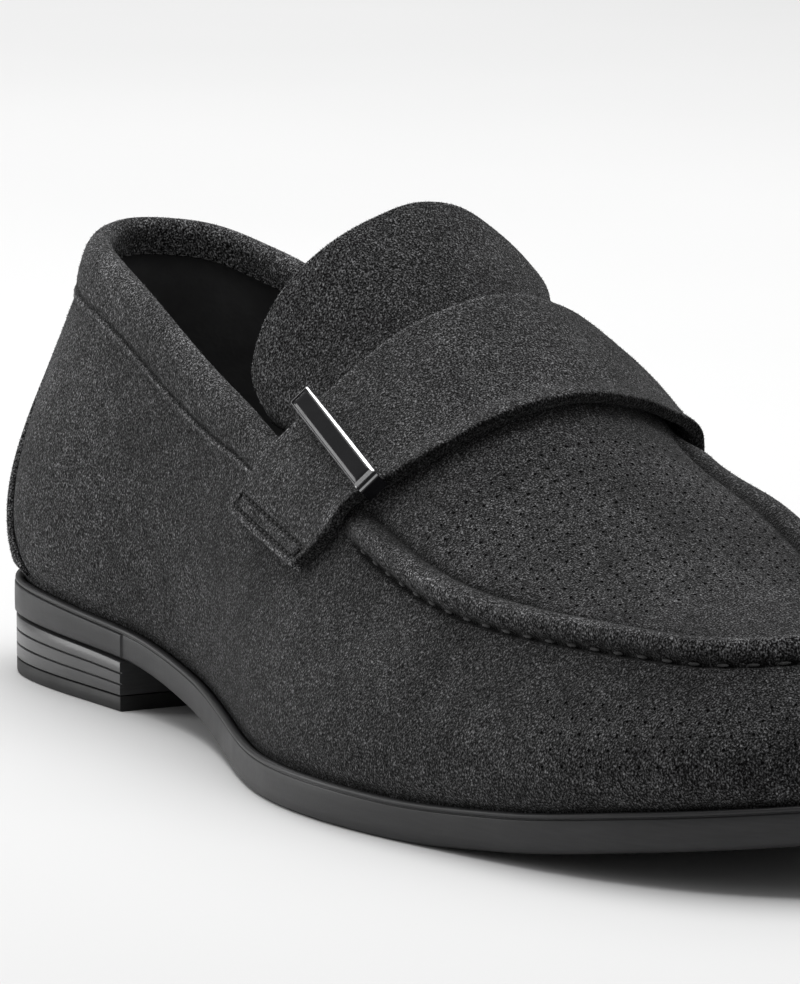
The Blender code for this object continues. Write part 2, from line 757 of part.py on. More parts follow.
def main():
    for old in list(bpy.data.objects):
        bpy.data.objects.remove(old, do_unlink=True)
    group = bpy.data.collections.new("suede_loafer")
    bpy.context.scene.collection.children.link(group)
    suede = material("charcoal_suede", (0.045, 0.045, 0.046), 0.95)
    trim = material("charcoal_suede_trim", (0.05, 0.05, 0.051), 0.95)
    rubber = material("black_rubber", (0.02, 0.02, 0.021), 0.5)
    layers = material("heel_layers", (0.035, 0.035, 0.036), 0.42)
    lift = material("top_lift_rubber", (0.012, 0.012, 0.013), 0.6)
    lining = material("black_lining", (0.012, 0.012, 0.013), 0.8)
    chrome = material("polished_metal", (0.75, 0.75, 0.77), 0.15, 1.0)
    enamel = material("black_enamel", (0.012, 0.012, 0.014), 0.25)
    pieces = [
        ("outsole", make_outsole(), rubber),
        ("heel", make_heel(), layers),
        ("heel_top_lift", make_top_lift(), lift),
        ("insole", make_insole(), lining),
        ("upper", make_upper(), suede),
        ("tongue", make_tongue(), trim),
        ("saddle_strap", make_strap(), trim),
        ("back_stay", make_back_stay(), trim),
        ("plate_frame", make_plate_frame(), chrome),
        ("plate_inlay", make_plate_inlay(), enamel),
    ]
    corners = np.array([vertex.co for _, bm, _ in pieces for vertex in bm.verts])
    centre = (corners.min(axis=0) + corners.max(axis=0)) / 2
    for name, bm, look in pieces:
        place(name, bm, look, centre, group)


main()
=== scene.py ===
"""Finish of a suede saddle loafer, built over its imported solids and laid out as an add-on.

Shapes are worked out in millimetres in the maker's frame: x from the back of the heel to the toe, y towards
the inner side of the foot, z up from the floor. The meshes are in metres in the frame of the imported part.
"""
import math

import bmesh
import bpy
import numpy as np
from bpy.props import FloatProperty, FloatVectorProperty, IntProperty, PointerProperty
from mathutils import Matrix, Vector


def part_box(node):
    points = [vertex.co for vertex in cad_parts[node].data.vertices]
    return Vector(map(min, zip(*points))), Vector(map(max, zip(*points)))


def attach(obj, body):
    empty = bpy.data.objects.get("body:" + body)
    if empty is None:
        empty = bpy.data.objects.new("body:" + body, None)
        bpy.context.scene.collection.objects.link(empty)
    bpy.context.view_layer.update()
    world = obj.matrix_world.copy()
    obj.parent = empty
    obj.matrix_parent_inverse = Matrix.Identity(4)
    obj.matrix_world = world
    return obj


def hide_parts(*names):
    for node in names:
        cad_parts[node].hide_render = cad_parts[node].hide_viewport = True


bl_info = {
    "name": "Suede saddle loafer",
    "version": (1, 0, 0),
    "blender": (4, 5, 0),
    "location": "View3D > Sidebar > Loafer",
    "description": "Builds the suede, sole, heel, bar, stitches and nap of a loafer over its solids",
    "category": "Object",
}

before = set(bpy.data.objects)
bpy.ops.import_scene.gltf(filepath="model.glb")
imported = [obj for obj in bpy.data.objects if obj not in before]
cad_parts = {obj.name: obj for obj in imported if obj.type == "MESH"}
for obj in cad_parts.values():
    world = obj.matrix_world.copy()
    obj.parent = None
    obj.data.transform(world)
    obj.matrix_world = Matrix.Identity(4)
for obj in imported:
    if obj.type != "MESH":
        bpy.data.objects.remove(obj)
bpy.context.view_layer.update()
MM = 0.001

# sole outline, a row per station from the back of the heel to the toe tip
OUTLINE = [
    # outer x, outer y, inner x, inner y
    (0.4, 0.0, 0.4, 0.0),
    (3.4, -12.6, 3.4, 12.6),
    (10.6, -22.8, 10.6, 22.8),
    (20.6, -29.2, 20.6, 29.2),
    (34.0, -31.9, 34.0, 31.6),
    (52.0, -32.3, 52.0, 31.6),
    (74.0, -31.4, 74.0, 29.8),
    (104.0, -33.3, 104.0, 27.4),
    (135.0, -42.0, 135.0, 29.2),
    (165.0, -50.8, 165.0, 37.5),
    (196.0, -51.9, 196.0, 46.6),
    (225.0, -46.9, 225.0, 49.0),
    (252.0, -40.2, 252.0, 44.3),
    (274.0, -30.7, 275.0, 34.6),
    (291.0, -17.5, 292.5, 20.5),
    (302.0, 2.5, 302.0, 2.5),
]

# top edge of the side wall at the same stations: topline at the back, apron seam at the front
TOP_EDGE = [
    # outer x, y, z, inner x, y, z, crown of the apron over the line between the two edges
    (18.5, 0.0, 91.8, 18.5, 0.0, 91.8, 0.0),
    (20.5, -7.2, 91.6, 20.0, 8.0, 91.2, 0.0),
    (25.0, -12.8, 90.9, 23.0, 14.0, 90.2, 0.0),
    (32.0, -17.2, 89.9, 28.0, 19.0, 88.4, 0.0),
    (40.5, -20.4, 88.5, 36.5, 22.5, 86.0, 0.0),
    (52.5, -23.0, 86.1, 50.0, 24.5, 82.9, 10.0),
    (71.0, -25.5, 80.7, 70.0, 26.5, 77.0, 20.0),
    (97.0, -28.0, 72.0, 97.0, 29.5, 73.5, 26.0),
    (125.0, -29.5, 63.8, 125.0, 32.5, 72.5, 26.5),
    (154.0, -33.0, 56.0, 154.0, 35.0, 70.5, 23.0),
    (184.0, -36.0, 48.2, 184.0, 33.0, 59.6, 16.6),
    (211.0, -35.5, 43.2, 211.0, 31.0, 54.8, 9.0),
    (236.0, -30.0, 41.5, 237.0, 27.4, 48.8, 4.8),
    (256.5, -23.2, 41.1, 257.0, 22.6, 45.0, 2.4),
    (271.0, -14.4, 41.0, 271.5, 16.0, 43.2, 1.0),
    (279.0, 3.0, 42.2, 279.0, 3.0, 42.2, 0.0),
]

# how far the wall swells beyond the straight line from the sole to the top edge
SWELL = [
    # outer, inner
    (7.0, 7.0), (6.6, 6.6), (6.0, 6.0), (5.4, 5.6), (5.0, 5.3), (4.6, 5.0), (4.0, 4.5), (3.2, 4.2),
    (3.2, 4.2), (3.5, 4.5), (4.5, 5.0), (5.2, 6.2), (5.8, 6.6), (6.2, 6.8), (6.5, 6.8), (6.6, 6.6),
]

# side profile of the sole; flat on the floor under the ball, heel joint behind the breast
PROFILE = [
    # x, bottom z, edge thickness
    (0.0, 12.6, 7.9), (35.0, 11.8, 7.3), (71.5, 10.2, 6.4), (100.0, 5.7, 6.9), (125.0, 2.0, 7.4),
    (145.0, 0.45, 7.7), (160.0, 0.0, 7.8), (208.0, 0.0, 7.7), (240.0, 2.1, 7.4), (270.0, 6.1, 7.3),
    (302.0, 10.8, 7.2),
]

# edge of the sole from the underside over the lip to the seat of the upper
SEAT_DEPTH = 0.8
SOLE_EDGE = [
    # inset, part of the edge thickness, rise in mm, share of the heel band's extra width
    (9.0, 0.0, 0.0, 0.0), (4.0, 0.0, 0.0, 0.0), (0.85, 0.0, 0.0, 0.0), (0.7, 0.0, 0.04, 0.0),
    (0.12, 0.0, 0.55, 0.4), (0.03, 0.0, 0.7, 1.0), (0.0, 0.3, 0.0, 1.0), (0.0, 0.6, 0.0, 1.0),
    (0.06, 1.0, -1.45, 1.0), (0.1, 1.0, -1.3, 1.0), (0.26, 1.0, -1.2, 0.5), (0.34, 1.0, -1.1, 0.0),
    (0.3, 1.0, -1.0, 0.0), (0.0, 1.0, -0.9, 0.0), (-0.14, 1.0, -0.8, 0.0), (-0.2, 1.0, -0.6, 0.0),
    (-0.15, 1.0, -0.35, 0.0), (0.0, 1.0, -0.14, 0.0), (0.25, 1.0, 0.0, 0.0), (0.8, 1.0, 0.0, 0.0),
    (1.2, 1.0, -0.1, 0.0), (1.5, 1.0, -SEAT_DEPTH, 0.0), (9.0, 1.0, -SEAT_DEPTH, 0.0),
]
HEEL_BAND = 0.35

# collar from below its lower seam up to the rim; the last row only gives the rim its direction
COLLAR_SECTION = [
    # distance below the edge, offset from the plain wall
    (13.0, 0.0), (11.2, 0.02), (10.7, 0.2), (10.2, 0.5), (9.75, 0.45), (9.4, 0.12), (9.0, 0.2), (8.3, 0.6),
    (7.0, 0.85), (5.2, 0.92), (2.4, 0.6), (0.8, -0.4), (0.0, -1.9), (0.3, -3.3),
]
# how much deeper or shallower the collar is along the shoe
COLLAR_SIZE = [
    # station, scale
    (0.0, 1.28), (3.0, 1.24), (5.5, 1.16), (6.5, 1.16), (7.2, 1.1), (7.8, 0.96), (9.0, 0.9),
]
# rolled seam of the apron across its line: wall side negative, apron side positive
BEAD_SECTION = [
    # distance from the seam, offset
    (-13.0, 0.0), (-5.2, 0.0), (-4.0, -0.12), (-3.1, -0.8), (-2.7, -0.55), (-2.2, 0.6), (-1.6, 1.4),
    (-0.8, 2.0), (0.0, 2.25), (1.1, 2.1), (2.2, 1.5), (3.1, 0.7), (3.9, -0.55), (4.6, -0.35), (6.5, 0.0),
    (13.0, 0.0),
]
# painted light on the nap: painted highlight (positive) and painted shade (negative)
COLLAR_PAINTED_LIGHT = [
    # distance below the edge, painted light: lighter rim, painted shadow in the groove just above the seam's
    # ridge, painted highlight on the ridge
    (0.0, 0.5), (1.5, 0.4), (3.5, 0.22), (8.4, 0.15), (9.0, -0.5), (9.45, -0.7), (9.75, 0.6), (10.2, 1.5),
    (10.6, 1.0), (11.1, 0.0), (13.0, 0.0),
]
BEAD_PAINTED_LIGHT = [
    # distance from the seam, painted light: painted highlight on the crest, painted shade in the grooves on
    # both sides
    (-13.0, 0.0), (-5.2, 0.0), (-4.0, -0.2), (-3.2, -0.9), (-2.6, -0.8), (-2.0, -0.15), (-0.8, 0.5),
    (0.0, 0.65), (1.1, 0.4), (2.4, 0.0), (3.2, -0.5), (3.9, -0.85), (4.7, -0.35), (6.0, 0.0), (13.0, 0.0),
]
ROLL_ROWS = [
    # distance below the collar edge, part of the padded thickness
    (0.3, 0.72), (1.4, 0.92),
]
FACING = [
    # distance below the edge on the inner side, part of the extra padding
    (3.0, 1.0), (6.6, 1.0), (7.0, 0.94), (7.3, 0.74), (7.7, 0.62), (9.0, 0.3), (11.5, 0.0),
]
FACING_DEPTH = 7.15
# painted light along the shoe: lighter towards the heel and darker towards the toe, as the light falls
PAINTED_LIGHT_ALONG = [
    # station, painted light
    (0.0, 0.52), (4.5, 0.44), (6.5, 0.06), (9.0, -0.02), (11.0, -0.16), (15.0, -0.2),
]
# soft troughs pressed into the upper by hand
CREASES = [
    # start station and height share, end station and height share, depth, half width
    (9.6, 0.50, 10.5, 0.86, 0.45, 5.0),
    (10.7, 0.34, 11.4, 0.80, 0.40, 6.0),
    (20.2, 0.40, 19.2, 0.84, 0.45, 6.0),
    (7.2, 0.30, 8.3, 0.62, 0.35, 6.0),
]

# stations of the outline, sections of the solids round it, station at which the throat opens
STATIONS = len(OUTLINE) - 1
TURN = 2 * STATIONS
SECTIONS = 90
THROAT = 9
# stations over which the collar and its padding fade out under the strap
COLLAR_FADE = (8.3, 9.0)
PADDING_FADE = (7.4, 8.7)
# foot of the wall inside the sole's edge, plain start over the lip, swell of the wall
FEATHER_INSET = 1.8
FEATHER_DROP = 0.5
LIP_CLEAR = 0.022
SWELL_SCALE = 1.22
SWELL_POWER = 0.68
# rolled seam: start on the outer and the inner side, run-in, apron width at which it is full
BEAD_START = (9.42, 9.62)
BEAD_RUN = 0.4
BEAD_FULL_WIDTH = 42.0
PLAIN_APRON = 0.18
# thickness of the upper, plain, at the seam and at the padded collar; gap between solids
WALL = 2.0
SEAM_WALL = 2.4
PADDING = 4.6
GAP = 0.3

# fineness of the suede: places round the shoe, rows near the top edge, rows lower down
ROUND = 600
TOP_DEPTH = 13.0
COLLAR_NUMBERS = np.concatenate([[0.0, 0.5], np.linspace(1.0, 7.0, 18), np.linspace(7.0, 12.0, 15)[1:]])
BEAD_DOWNS = np.concatenate([np.linspace(TOP_DEPTH, 4.4, 9)[:-1], np.linspace(4.4, 0.0, 26)])
LOW_PARTS = (0.0, 0.012, 0.025, 0.045, 0.07, 0.1, 0.135, 0.175, 0.22, 0.28, 0.35, 0.42, 0.5, 0.58, 0.66,
             0.74, 0.83, 0.92)
# rows of the lining side: distances below the edge, then parts of the height that is left
INNER_DOWNS = (3.0, 4.0, 5.0, 6.0, 6.6, FACING_DEPTH - 0.25, FACING_DEPTH, 7.4, 7.7, 8.3, 9.2, 10.3, 11.5)
INNER_PARTS = (0.92, 0.82, 0.7, 0.58, 0.46, 0.34, 0.24, 0.15, 0.07, 0.0)
# rows of the apron beside its seam, and how many lie on the plain part
BESIDE_SEAM = np.array([0.0, 0.4, 0.8, 1.2, 1.6, 2.0, 2.4, 2.8, 3.2, 3.6, 4.0, 4.4, 4.8, 5.4, 6.2, 7.2])
APRON_ROWS = 41
# puckers of the rolled seam: height, distance below the seam, reach; and the painted highlight and shade
# that follow them, with its reach
PUCKER = (0.3, 2.3, 1.0)
PUCKER_PAINTED_LIGHT = (0.6, 0.5)
# stitches of the rolled seam: distance below the edge, depth under the wall, first and last station
SEAM_DEPTH = 2.85
SEAM_SUNK = 0.5
SEAM_ENDS = (THROAT + 0.75, TURN - THROAT - 0.95)
# reach over which the directions of wall and apron turn into the seam's
SEAM_TURN = 1.5
# slow unevenness: height, height shares over which it starts, plain strip beside the seam
LUMP = 0.1
LUMP_RISE = (0.04, 0.2)
PLAIN_SEAM = 8.0
# painted light of the upper: painted shade at the foot of the wall with its reach, painted light inside the
# facing, painted light over the rim from outside to inside, painted shade on the seat
FOOT_PAINTED_SHADE = (-0.5, 0.06)
FACING_PAINTED_LIGHT = 1.6
RIM_PAINTED_LIGHT = (0.75, 1.3)
SEAT_PAINTED_SHADE = -0.6
# strip beside the seam that takes no painted light along the shoe
SHADE_START = 6.0
# step for directions worked out by difference; distances in metres at which points merge
SMALL = 1e-3
MERGE = 2e-6
SLIVER = 1e-7

# heel: length, flare at the breast with its stations, fade of the proud band over it
HEEL_LENGTH = 71.0
BREAST_FLARE = 0.5
BREAST_RUN = (5.0, 6.0)
BAND_FADE = 0.15
# top lift: height, inset, rounded edge, run and rise of the bevel at the back
LIFT_HEIGHT = 3.0
LIFT_INSET = 0.05
LIFT_EDGE = 0.45
BACK_BEVEL = (9.0, 0.9)
# grooves between the heel's layers, and the bevel of its edges
GROOVE_DEPTH = 0.5
GROOVE_HALF = 0.26
HEEL_BEVEL = 0.12
HEEL_SHARP = math.radians(50)
GROOVE_SECTION = [
    # inset, height over the middle of the groove
    (0.0, -GROOVE_HALF), (HEEL_BEVEL, -0.7 * GROOVE_HALF), (GROOVE_DEPTH, -0.3 * GROOVE_HALF),
    (GROOVE_DEPTH, 0.3 * GROOVE_HALF), (HEEL_BEVEL, 0.7 * GROOVE_HALF), (0.0, GROOVE_HALF),
]
# sock lining: thickness, rounding, inset from the sole's outline
INSOLE_THICK = 3.0
INSOLE_ROUND = 0.8
INSOLE_INSET = FEATHER_INSET + WALL + 0.6
INSOLE_EDGE = [
    # inset, rise
    (INSOLE_ROUND, 0.0), (0.2, 0.2), (0.0, INSOLE_ROUND), (0.0, INSOLE_THICK - INSOLE_ROUND),
    (0.25, INSOLE_THICK - 0.25), (INSOLE_ROUND, INSOLE_THICK), (3.0, INSOLE_THICK - 0.1),
    (6.0, INSOLE_THICK - 0.35), (10.0, INSOLE_THICK - 0.6),
]
# places round the sole and the sock lining
SOLE_PLACES = 720
INSOLE_PLACES = 360

# strap: thickness, height share of its ends, clearances over the upper
STRAP_THICK = 2.4
STRAP_END = 0.7
STRAP_CLEAR = 0.6
STRAP_LIFT = 1.4
STRAP_LIFT_FROM = 0.8
STRAP_SPARE = 0.5
COLLAR_SWELL = 0.9
BEAD_HEIGHT = 2.0
STRAP_EDGES = [
    # part of the length, rear station, front station
    (0.0, 7.96, 9.12), (0.095, 8.32, 9.475), (0.22, 8.65, 9.74), (0.36, 8.83, 9.94), (0.5, 8.95, 10.0),
    (0.62, 8.93, 9.97), (0.74, 8.82, 9.86), (0.86, 8.72, 9.76), (1.0, 8.6, 9.6),
]
STRAP_ROUND = 0.7
STRAP_WIDTH = 33.0
STRAP_LENGTH = 130.0
# control points of the strap: share up the wall or across the apron, spare height there
GIRTH_WALL = ((STRAP_END, 0.0), (0.82, 0.0), (0.92, STRAP_SPARE))
GIRTH_APRON = ((0.1, STRAP_SPARE), (0.22, 0.0), (0.36, 0.0))
# close rows along a cut edge, the step that follows them, the gap before the plain rows
CLOSE_ROWS = (0.0, 0.08, 0.2, 0.36, 0.56, 0.8, 1.1)
CLOSE_STEP = 0.25
PLAIN_GAP = 0.4
# rows across and along the strap: plain rows, width of the close strip at both ends
STRAP_ROWS = (34, 3.4)
STRAP_COLUMNS = (96, 6.8)
# box stitch at each strap end: distances from the end, and from the rear and front edges
BOX_STITCH = (2.0, 5.3)
BOX_MARGIN = (2.0, 2.4)
# groove that the stitches lie in: depth, half width; depth of the thread there and beside the tongue's edge
STITCH_GROOVE = (0.6, 0.42)
STITCH_SUNK = 0.38
STITCH_BED = 0.1
# wear of the plain nap on strap and tongue, then lighter cut edges at the strap's rear and ends, painted
# shade in its stitch grooves and painted shade along its front edge: amount, reach
PLAIN_WEAR = 0.12
STRAP_REAR_WEAR = (1.7, 0.9)
STRAP_END_WEAR = (2.2, 0.9)
STRAP_FRONT_PAINTED_SHADE = (-0.9, 0.5)
STRAP_SEWN_PAINTED_SHADE = (-1.0, 0.45)
STRAP_CORNER = 1.5
STRAP_LUMP = 0.8 * LUMP
# worn patch near the strap's front edge: part of the length, half width there, distance, reach, amount
STRAP_PATCH = (0.11, 0.03, 1.8, 1.6, 0.7)

# how much denser the nap is along a cut edge, and its reach
CUT_FRAY = (3.0, 0.5)

# tongue: thickness, clearance under the apron, stations under it, bare margin beside the seams
TONGUE_THICK = 2.4
TONGUE_CLEAR = 0.45
TONGUE_ROOT = (9.05, 9.35, 9.6)
TONGUE_MARGIN = 0.06
TONGUE_ROUND = 0.55
TONGUE_LENGTH = 40.0
TONGUE_COLUMNS = 121
# line sewn beside the tongue's edge: distance, half width, depth
TONGUE_SEAM = 0.95
TONGUE_SEAM_HALF = 0.35
TONGUE_SEAM_DEPTH = 0.12
# wear of the tongue: cut edge with its reach, painted shade in the sewn line, painted shadow of the strap
# beside it with its reach
TONGUE_EDGE_WEAR = (1.5, 0.6)
TONGUE_SEWN_PAINTED_SHADE = -0.3
TONGUE_PAINTED_SHADOW = (-1.0, 3.5)
TONGUE_EDGE = [
    # x, y, z
    (121.0, -24.5, 62.5), (117.0, -27.2, 72.0), (117.5, -25.7, 80.5), (121.0, -21.4, 90.5),
    (124.8, -14.5, 98.0), (125.5, -5.0, 102.6), (125.5, 5.0, 105.0), (126.0, 13.5, 103.7),
    (128.0, 20.8, 98.7), (131.0, 25.6, 93.3), (133.5, 29.1, 87.2), (134.0, 28.4, 78.0),
    (134.0, 26.4, 67.0),
]

# back stay: thickness, clearance, half its run at the sole and at the top, height share of its top
STAY_THICK = 0.8
STAY_CLEAR = 0.6
STAY_HALF = (3.7, 1.5)
STAY_TOP = 0.8
STAY_UNDER = 0.2
STAY_LUMP = 0.6 * LUMP
STAY_BEVEL = 0.75
# painted light over the back stay, stronger along its edges
STAY_PAINTED_LIGHT = 0.24
STAY_EDGE_PAINTED_LIGHT = (0.9, 1.0)

# ends of the straight bar on the strap, as parts of the strap's width and length
PLATE_REAR = (-0.06, 0.214)
PLATE_FRONT = (1.0, 0.196)
PLATE_WIDTH = 4.8
PLATE_THICK = 1.8
PLATE_FLOOR = 0.9
# end turned down over the strap's front edge: clear of the edge, thickness, drop
PLATE_TURN = (0.4, 0.9, 2.2)
# visible rim beside the field: lower side, upper side, ends
PLATE_RIMS = (0.36, 0.5, 0.4)
PLATE_CORNER = 0.9
PLATE_SPARE = 0.1
PLATE_SHARP = math.radians(35)
# bevel round the bar's top: distance from the border, drop there
NEAR_BEVEL = ((0.0, 0.5), (0.06, 0.4), (0.24, 0.0))
FAR_BEVEL = ((0.44, 0.02), (0.08, 0.38), (0.0, 0.5))
REAR_BEVEL = ((0.0, 0.5), (0.06, 0.4), (0.14, 0.2), (0.24, 0.0), (0.35, 0.0))
FRONT_BEVEL = ((0.3, 0.02), (0.0, 0.35))
# rim at the front end, run of the pocket's wall, rounding of the turned end, height and rise of its arc
FRONT_RIM = 0.8
POCKET_STEP = 0.05
TURN_ROUND = 0.1
TURN_ARC = (0.5, 0.8)
# field: depth under the rim, clearance in the pocket, drop and reach of its soft border
INLAY_SUNK = 0.15
INLAY_CLEAR = 0.1
INLAY_BORDER = (0.2, 0.25)

# stitches of the facing: end station, distance over the facing's lower edge, height over its face
FACING_STITCH = (7.6, 0.45, 0.05)
# pinholes of the apron: first and last station, step, bare margin and pitch across
APRON_HOLES = (10.3, 12.5, 0.135, 8.0, 3.8)
# pinholes of the vamp: first and last height share, step, first and last station, step
VAMP_HOLES = (0.22, 0.6, 0.09, 12.1, 17.9, 0.18)
HOLE_LIFT = 0.09
# largest lean of a fibre in radians
NAP_LEAN = 1.1

# floor in metres: half its side, cells along it
FLOOR_HALF = 4.0
FLOOR_CELLS = 8
# usual range of a noise texture
NOISE_RANGE = (0.3, 0.7)
# camera: turn and height in degrees, distance in mm, focal length and picture height in pixels, aimed point
CAMERA_TURN = 60.65
CAMERA_RISE = 8.70
CAMERA_AWAY = 1564.7
FOCAL_PIXELS = 8152.9
PICTURE_HEIGHT = 984
CAMERA_AIM = (131.03, -2.29, 49.73)
SENSOR_WIDTH = 36.0
CAMERA_REACH = 50.0


def loop_values(rows, outer, inner):
    """One value per station, out along the outer side and back along the inner side."""
    out = [row[outer] for row in rows]
    back = [row[inner] for row in rows]
    return out + back[-2:0:-1]


class Loop:
    """Closed cubic curve through one value per station."""

    def __init__(self, values):
        self.value = np.array(values, float)
        count = len(values)
        lines = 4.0 * np.eye(count) + np.roll(np.eye(count), 1, 0) + np.roll(np.eye(count), -1, 0)
        self.slope = np.linalg.solve(lines, 3.0 * (np.roll(self.value, -1) - np.roll(self.value, 1)))

    def __call__(self, t):
        t = np.asarray(t, float)
        first = np.floor(t).astype(int)
        f = t - first
        a = first % len(self.value)
        b = (first + 1) % len(self.value)
        rise = (3 - 2 * f) * f * f
        return ((1 - rise) * self.value[a] + rise * self.value[b]
                + f * (1 - f) ** 2 * self.slope[a] - f * f * (1 - f) * self.slope[b])


class Profile:
    """Monotone cubic through a table column, so that flat rows stay flat."""

    def __init__(self, rows, column):
        self.x = np.array([row[0] for row in rows], float)
        self.y = np.array([row[column] for row in rows], float)
        step = np.diff(self.y) / np.diff(self.x)
        self.m = np.zeros(len(rows))
        self.m[0] = step[0]
        self.m[-1] = step[-1]
        for i in range(1, len(rows) - 1):
            if step[i - 1] * step[i] > 0:
                self.m[i] = 2 * step[i - 1] * step[i] / (step[i - 1] + step[i])

    def __call__(self, x):
        x = np.clip(np.asarray(x, float), self.x[0], self.x[-1])
        i = np.clip(np.searchsorted(self.x, x, side="right") - 1, 0, len(self.x) - 2)
        width = self.x[i + 1] - self.x[i]
        f = (x - self.x[i]) / width
        rise = (3 - 2 * f) * f * f
        return ((1 - rise) * self.y[i] + rise * self.y[i + 1]
                + width * (f * (1 - f) ** 2 * self.m[i] - f * f * (1 - f) * self.m[i + 1]))


sole_x = Loop(loop_values(OUTLINE, 0, 2))
sole_y = Loop(loop_values(OUTLINE, 1, 3))
top_x = Loop(loop_values(TOP_EDGE, 0, 3))
top_y = Loop(loop_values(TOP_EDGE, 1, 4))
top_z = Loop(loop_values(TOP_EDGE, 2, 5))
crown = Loop(loop_values(TOP_EDGE, 6, 6))
swell = Loop(loop_values(SWELL, 0, 1))
bottom_z = Profile(PROFILE, 1)
edge_thick = Profile(PROFILE, 2)
strap_rear = Profile(STRAP_EDGES, 1)
strap_front = Profile(STRAP_EDGES, 2)
bead_offset = Profile(BEAD_SECTION, 1)
bead_painted_light = Profile(BEAD_PAINTED_LIGHT, 1)
collar_painted_light = Profile(COLLAR_PAINTED_LIGHT, 1)
collar_size = Profile(COLLAR_SIZE, 1)
painted_light_along = Profile(PAINTED_LIGHT_ALONG, 1)
facing_part = Profile(FACING, 1)


def smooth(low, high, x):
    """Smooth step from 0 at low to 1 at high."""
    f = np.clip((np.asarray(x, float) - low) / (high - low), 0.0, 1.0)
    return f * f * (3 - 2 * f)


def bell(x, half):
    """1 at zero, falling off evenly on both sides."""
    return np.exp(-(x / half) ** 2)


def falloff_beside(distance, rule):
    """Value beside an edge or a seam, from its amount and its reach; it carries wear, painted light and
    shade, and nap density.
    """
    amount, reach = rule
    return amount * bell(distance, reach)


def unit(v):
    return v / np.linalg.norm(v, axis=-1, keepdims=True)


def along(t):
    """Station number along the shoe, the same on both sides."""
    t = np.mod(t, TURN)
    return np.minimum(t, TURN - t)


def plan_normal(t):
    """Direction out of the sole's outline in plan."""
    dx = sole_x(t + SMALL) - sole_x(t - SMALL)
    dy = sole_y(t + SMALL) - sole_y(t - SMALL)
    size = np.hypot(dx, dy)
    return dy / size, -dx / size


def outline(t, inset, z):
    """Points on the sole's outline moved in by inset, at height z."""
    nx, ny = plan_normal(t)
    return np.stack([sole_x(t) - inset * nx, sole_y(t) - inset * ny, np.broadcast_to(z, np.shape(t))], -1)


def sole_top(t):
    return bottom_z(sole_x(t)) + edge_thick(sole_x(t))


def top_edge(t):
    return np.stack([top_x(t), top_y(t), top_z(t)], -1)


def wall(t, s):
    """Outer side of the wall, from the sole (s = 0) to the top edge (s = 1)."""
    t, s = np.broadcast_arrays(np.asarray(t, float), np.asarray(s, float))
    nx, ny = plan_normal(t)
    foot = outline(t, FEATHER_INSET, sole_top(t) - FEATHER_DROP)
    point = foot + (top_edge(t) - foot) * s[..., None]
    chord = unit(top_edge(t) - foot)
    level = np.stack([nx, ny, np.zeros_like(nx)], -1)
    out = unit(level - chord * np.sum(level * chord, -1, keepdims=True))
    rise = np.clip((s - LIP_CLEAR) / (1 - LIP_CLEAR), 0, 1)
    bulge = swell(t) * SWELL_SCALE * np.sin(math.pi * rise ** SWELL_POWER) * np.sqrt(1 - rise)
    return point + out * bulge[..., None]


def wall_normal(t, s):
    s = np.clip(s, 0.03, 0.97)
    across = wall(t + SMALL, s) - wall(t - SMALL, s)
    upward = wall(t, s + SMALL) - wall(t, s - SMALL)
    return unit(np.cross(across, upward))


def apron(t, a):
    """Apron from the outer seam (a = 0) to the inner seam (a = 1) at station t."""
    t, a = np.broadcast_arrays(np.asarray(t, float), np.asarray(a, float))
    point = top_edge(t) + (top_edge(TURN - t) - top_edge(t)) * a[..., None]
    point[..., 2] += 4 * crown(t) * a * (1 - a)
    return point


def apron_normal(t, a):
    t = np.clip(t, THROAT - 2.0, STATIONS - 0.15)
    a = np.clip(a, 0.02, 0.98)
    ahead = apron(t + SMALL, a) - apron(t - SMALL, a)
    across = apron(t, a + SMALL) - apron(t, a - SMALL)
    return unit(np.cross(ahead, across))


def edge_normal(t):
    """Direction out of the seam between wall and apron."""
    k = along(t)
    side = (np.mod(t, TURN) > STATIONS).astype(float)
    return unit(wall_normal(t, np.full_like(k, 0.97)) + apron_normal(k, side))


def collar_share(t):
    """1 along the collar, 0 along the apron seam; the change lies under the strap."""
    return 1 - smooth(*COLLAR_FADE, along(t))


def bead_share(t):
    """0 under the strap, 1 along the raised apron seam in front of it."""
    start = np.where(np.mod(t, TURN) > STATIONS, BEAD_START[1], BEAD_START[0])
    return smooth(0.0, BEAD_RUN, along(t) - start)


def wall_length(t):
    foot = outline(t, FEATHER_INSET, sole_top(t) - FEATHER_DROP)
    return np.linalg.norm(top_edge(t) - foot, axis=-1)


def spacing(points):
    """Share of the length at each row of control points."""
    size = np.linalg.norm(np.diff(points, axis=0), axis=-1)
    at = np.concatenate([np.zeros_like(size[:1]), np.cumsum(size, axis=0)])
    return at / at[-1]


def through(points, q):
    """Cubic through rows of control points, one curve per column, q from 0 to 1 along it by length."""
    at = spacing(points)
    gap = np.diff(at, axis=0)[..., None]
    step = np.diff(points, axis=0) / gap
    inner = (gap[1:] * step[:-1] + gap[:-1] * step[1:]) / (gap[1:] + gap[:-1])
    slope = np.concatenate([step[:1], inner, step[-1:]])
    column = np.arange(points.shape[1])
    i = np.clip(np.sum(at <= q, axis=0) - 1, 0, len(points) - 2)
    width = at[i + 1, column] - at[i, column]
    f = ((q - at[i, column]) / width)[:, None]
    width = width[:, None]
    rise = (3 - 2 * f) * f * f
    return ((1 - rise) * points[i, column] + rise * points[i + 1, column]
            + width * (f * (1 - f) ** 2 * slope[i, column] - f * f * (1 - f) * slope[i + 1, column]))


def curve_through(table, count):
    """Evenly spaced points on a cubic through a table."""
    rows = np.array(table, float)[:, None, :]
    return through(np.repeat(rows, count, axis=1), np.linspace(0.0, 1.0, count))


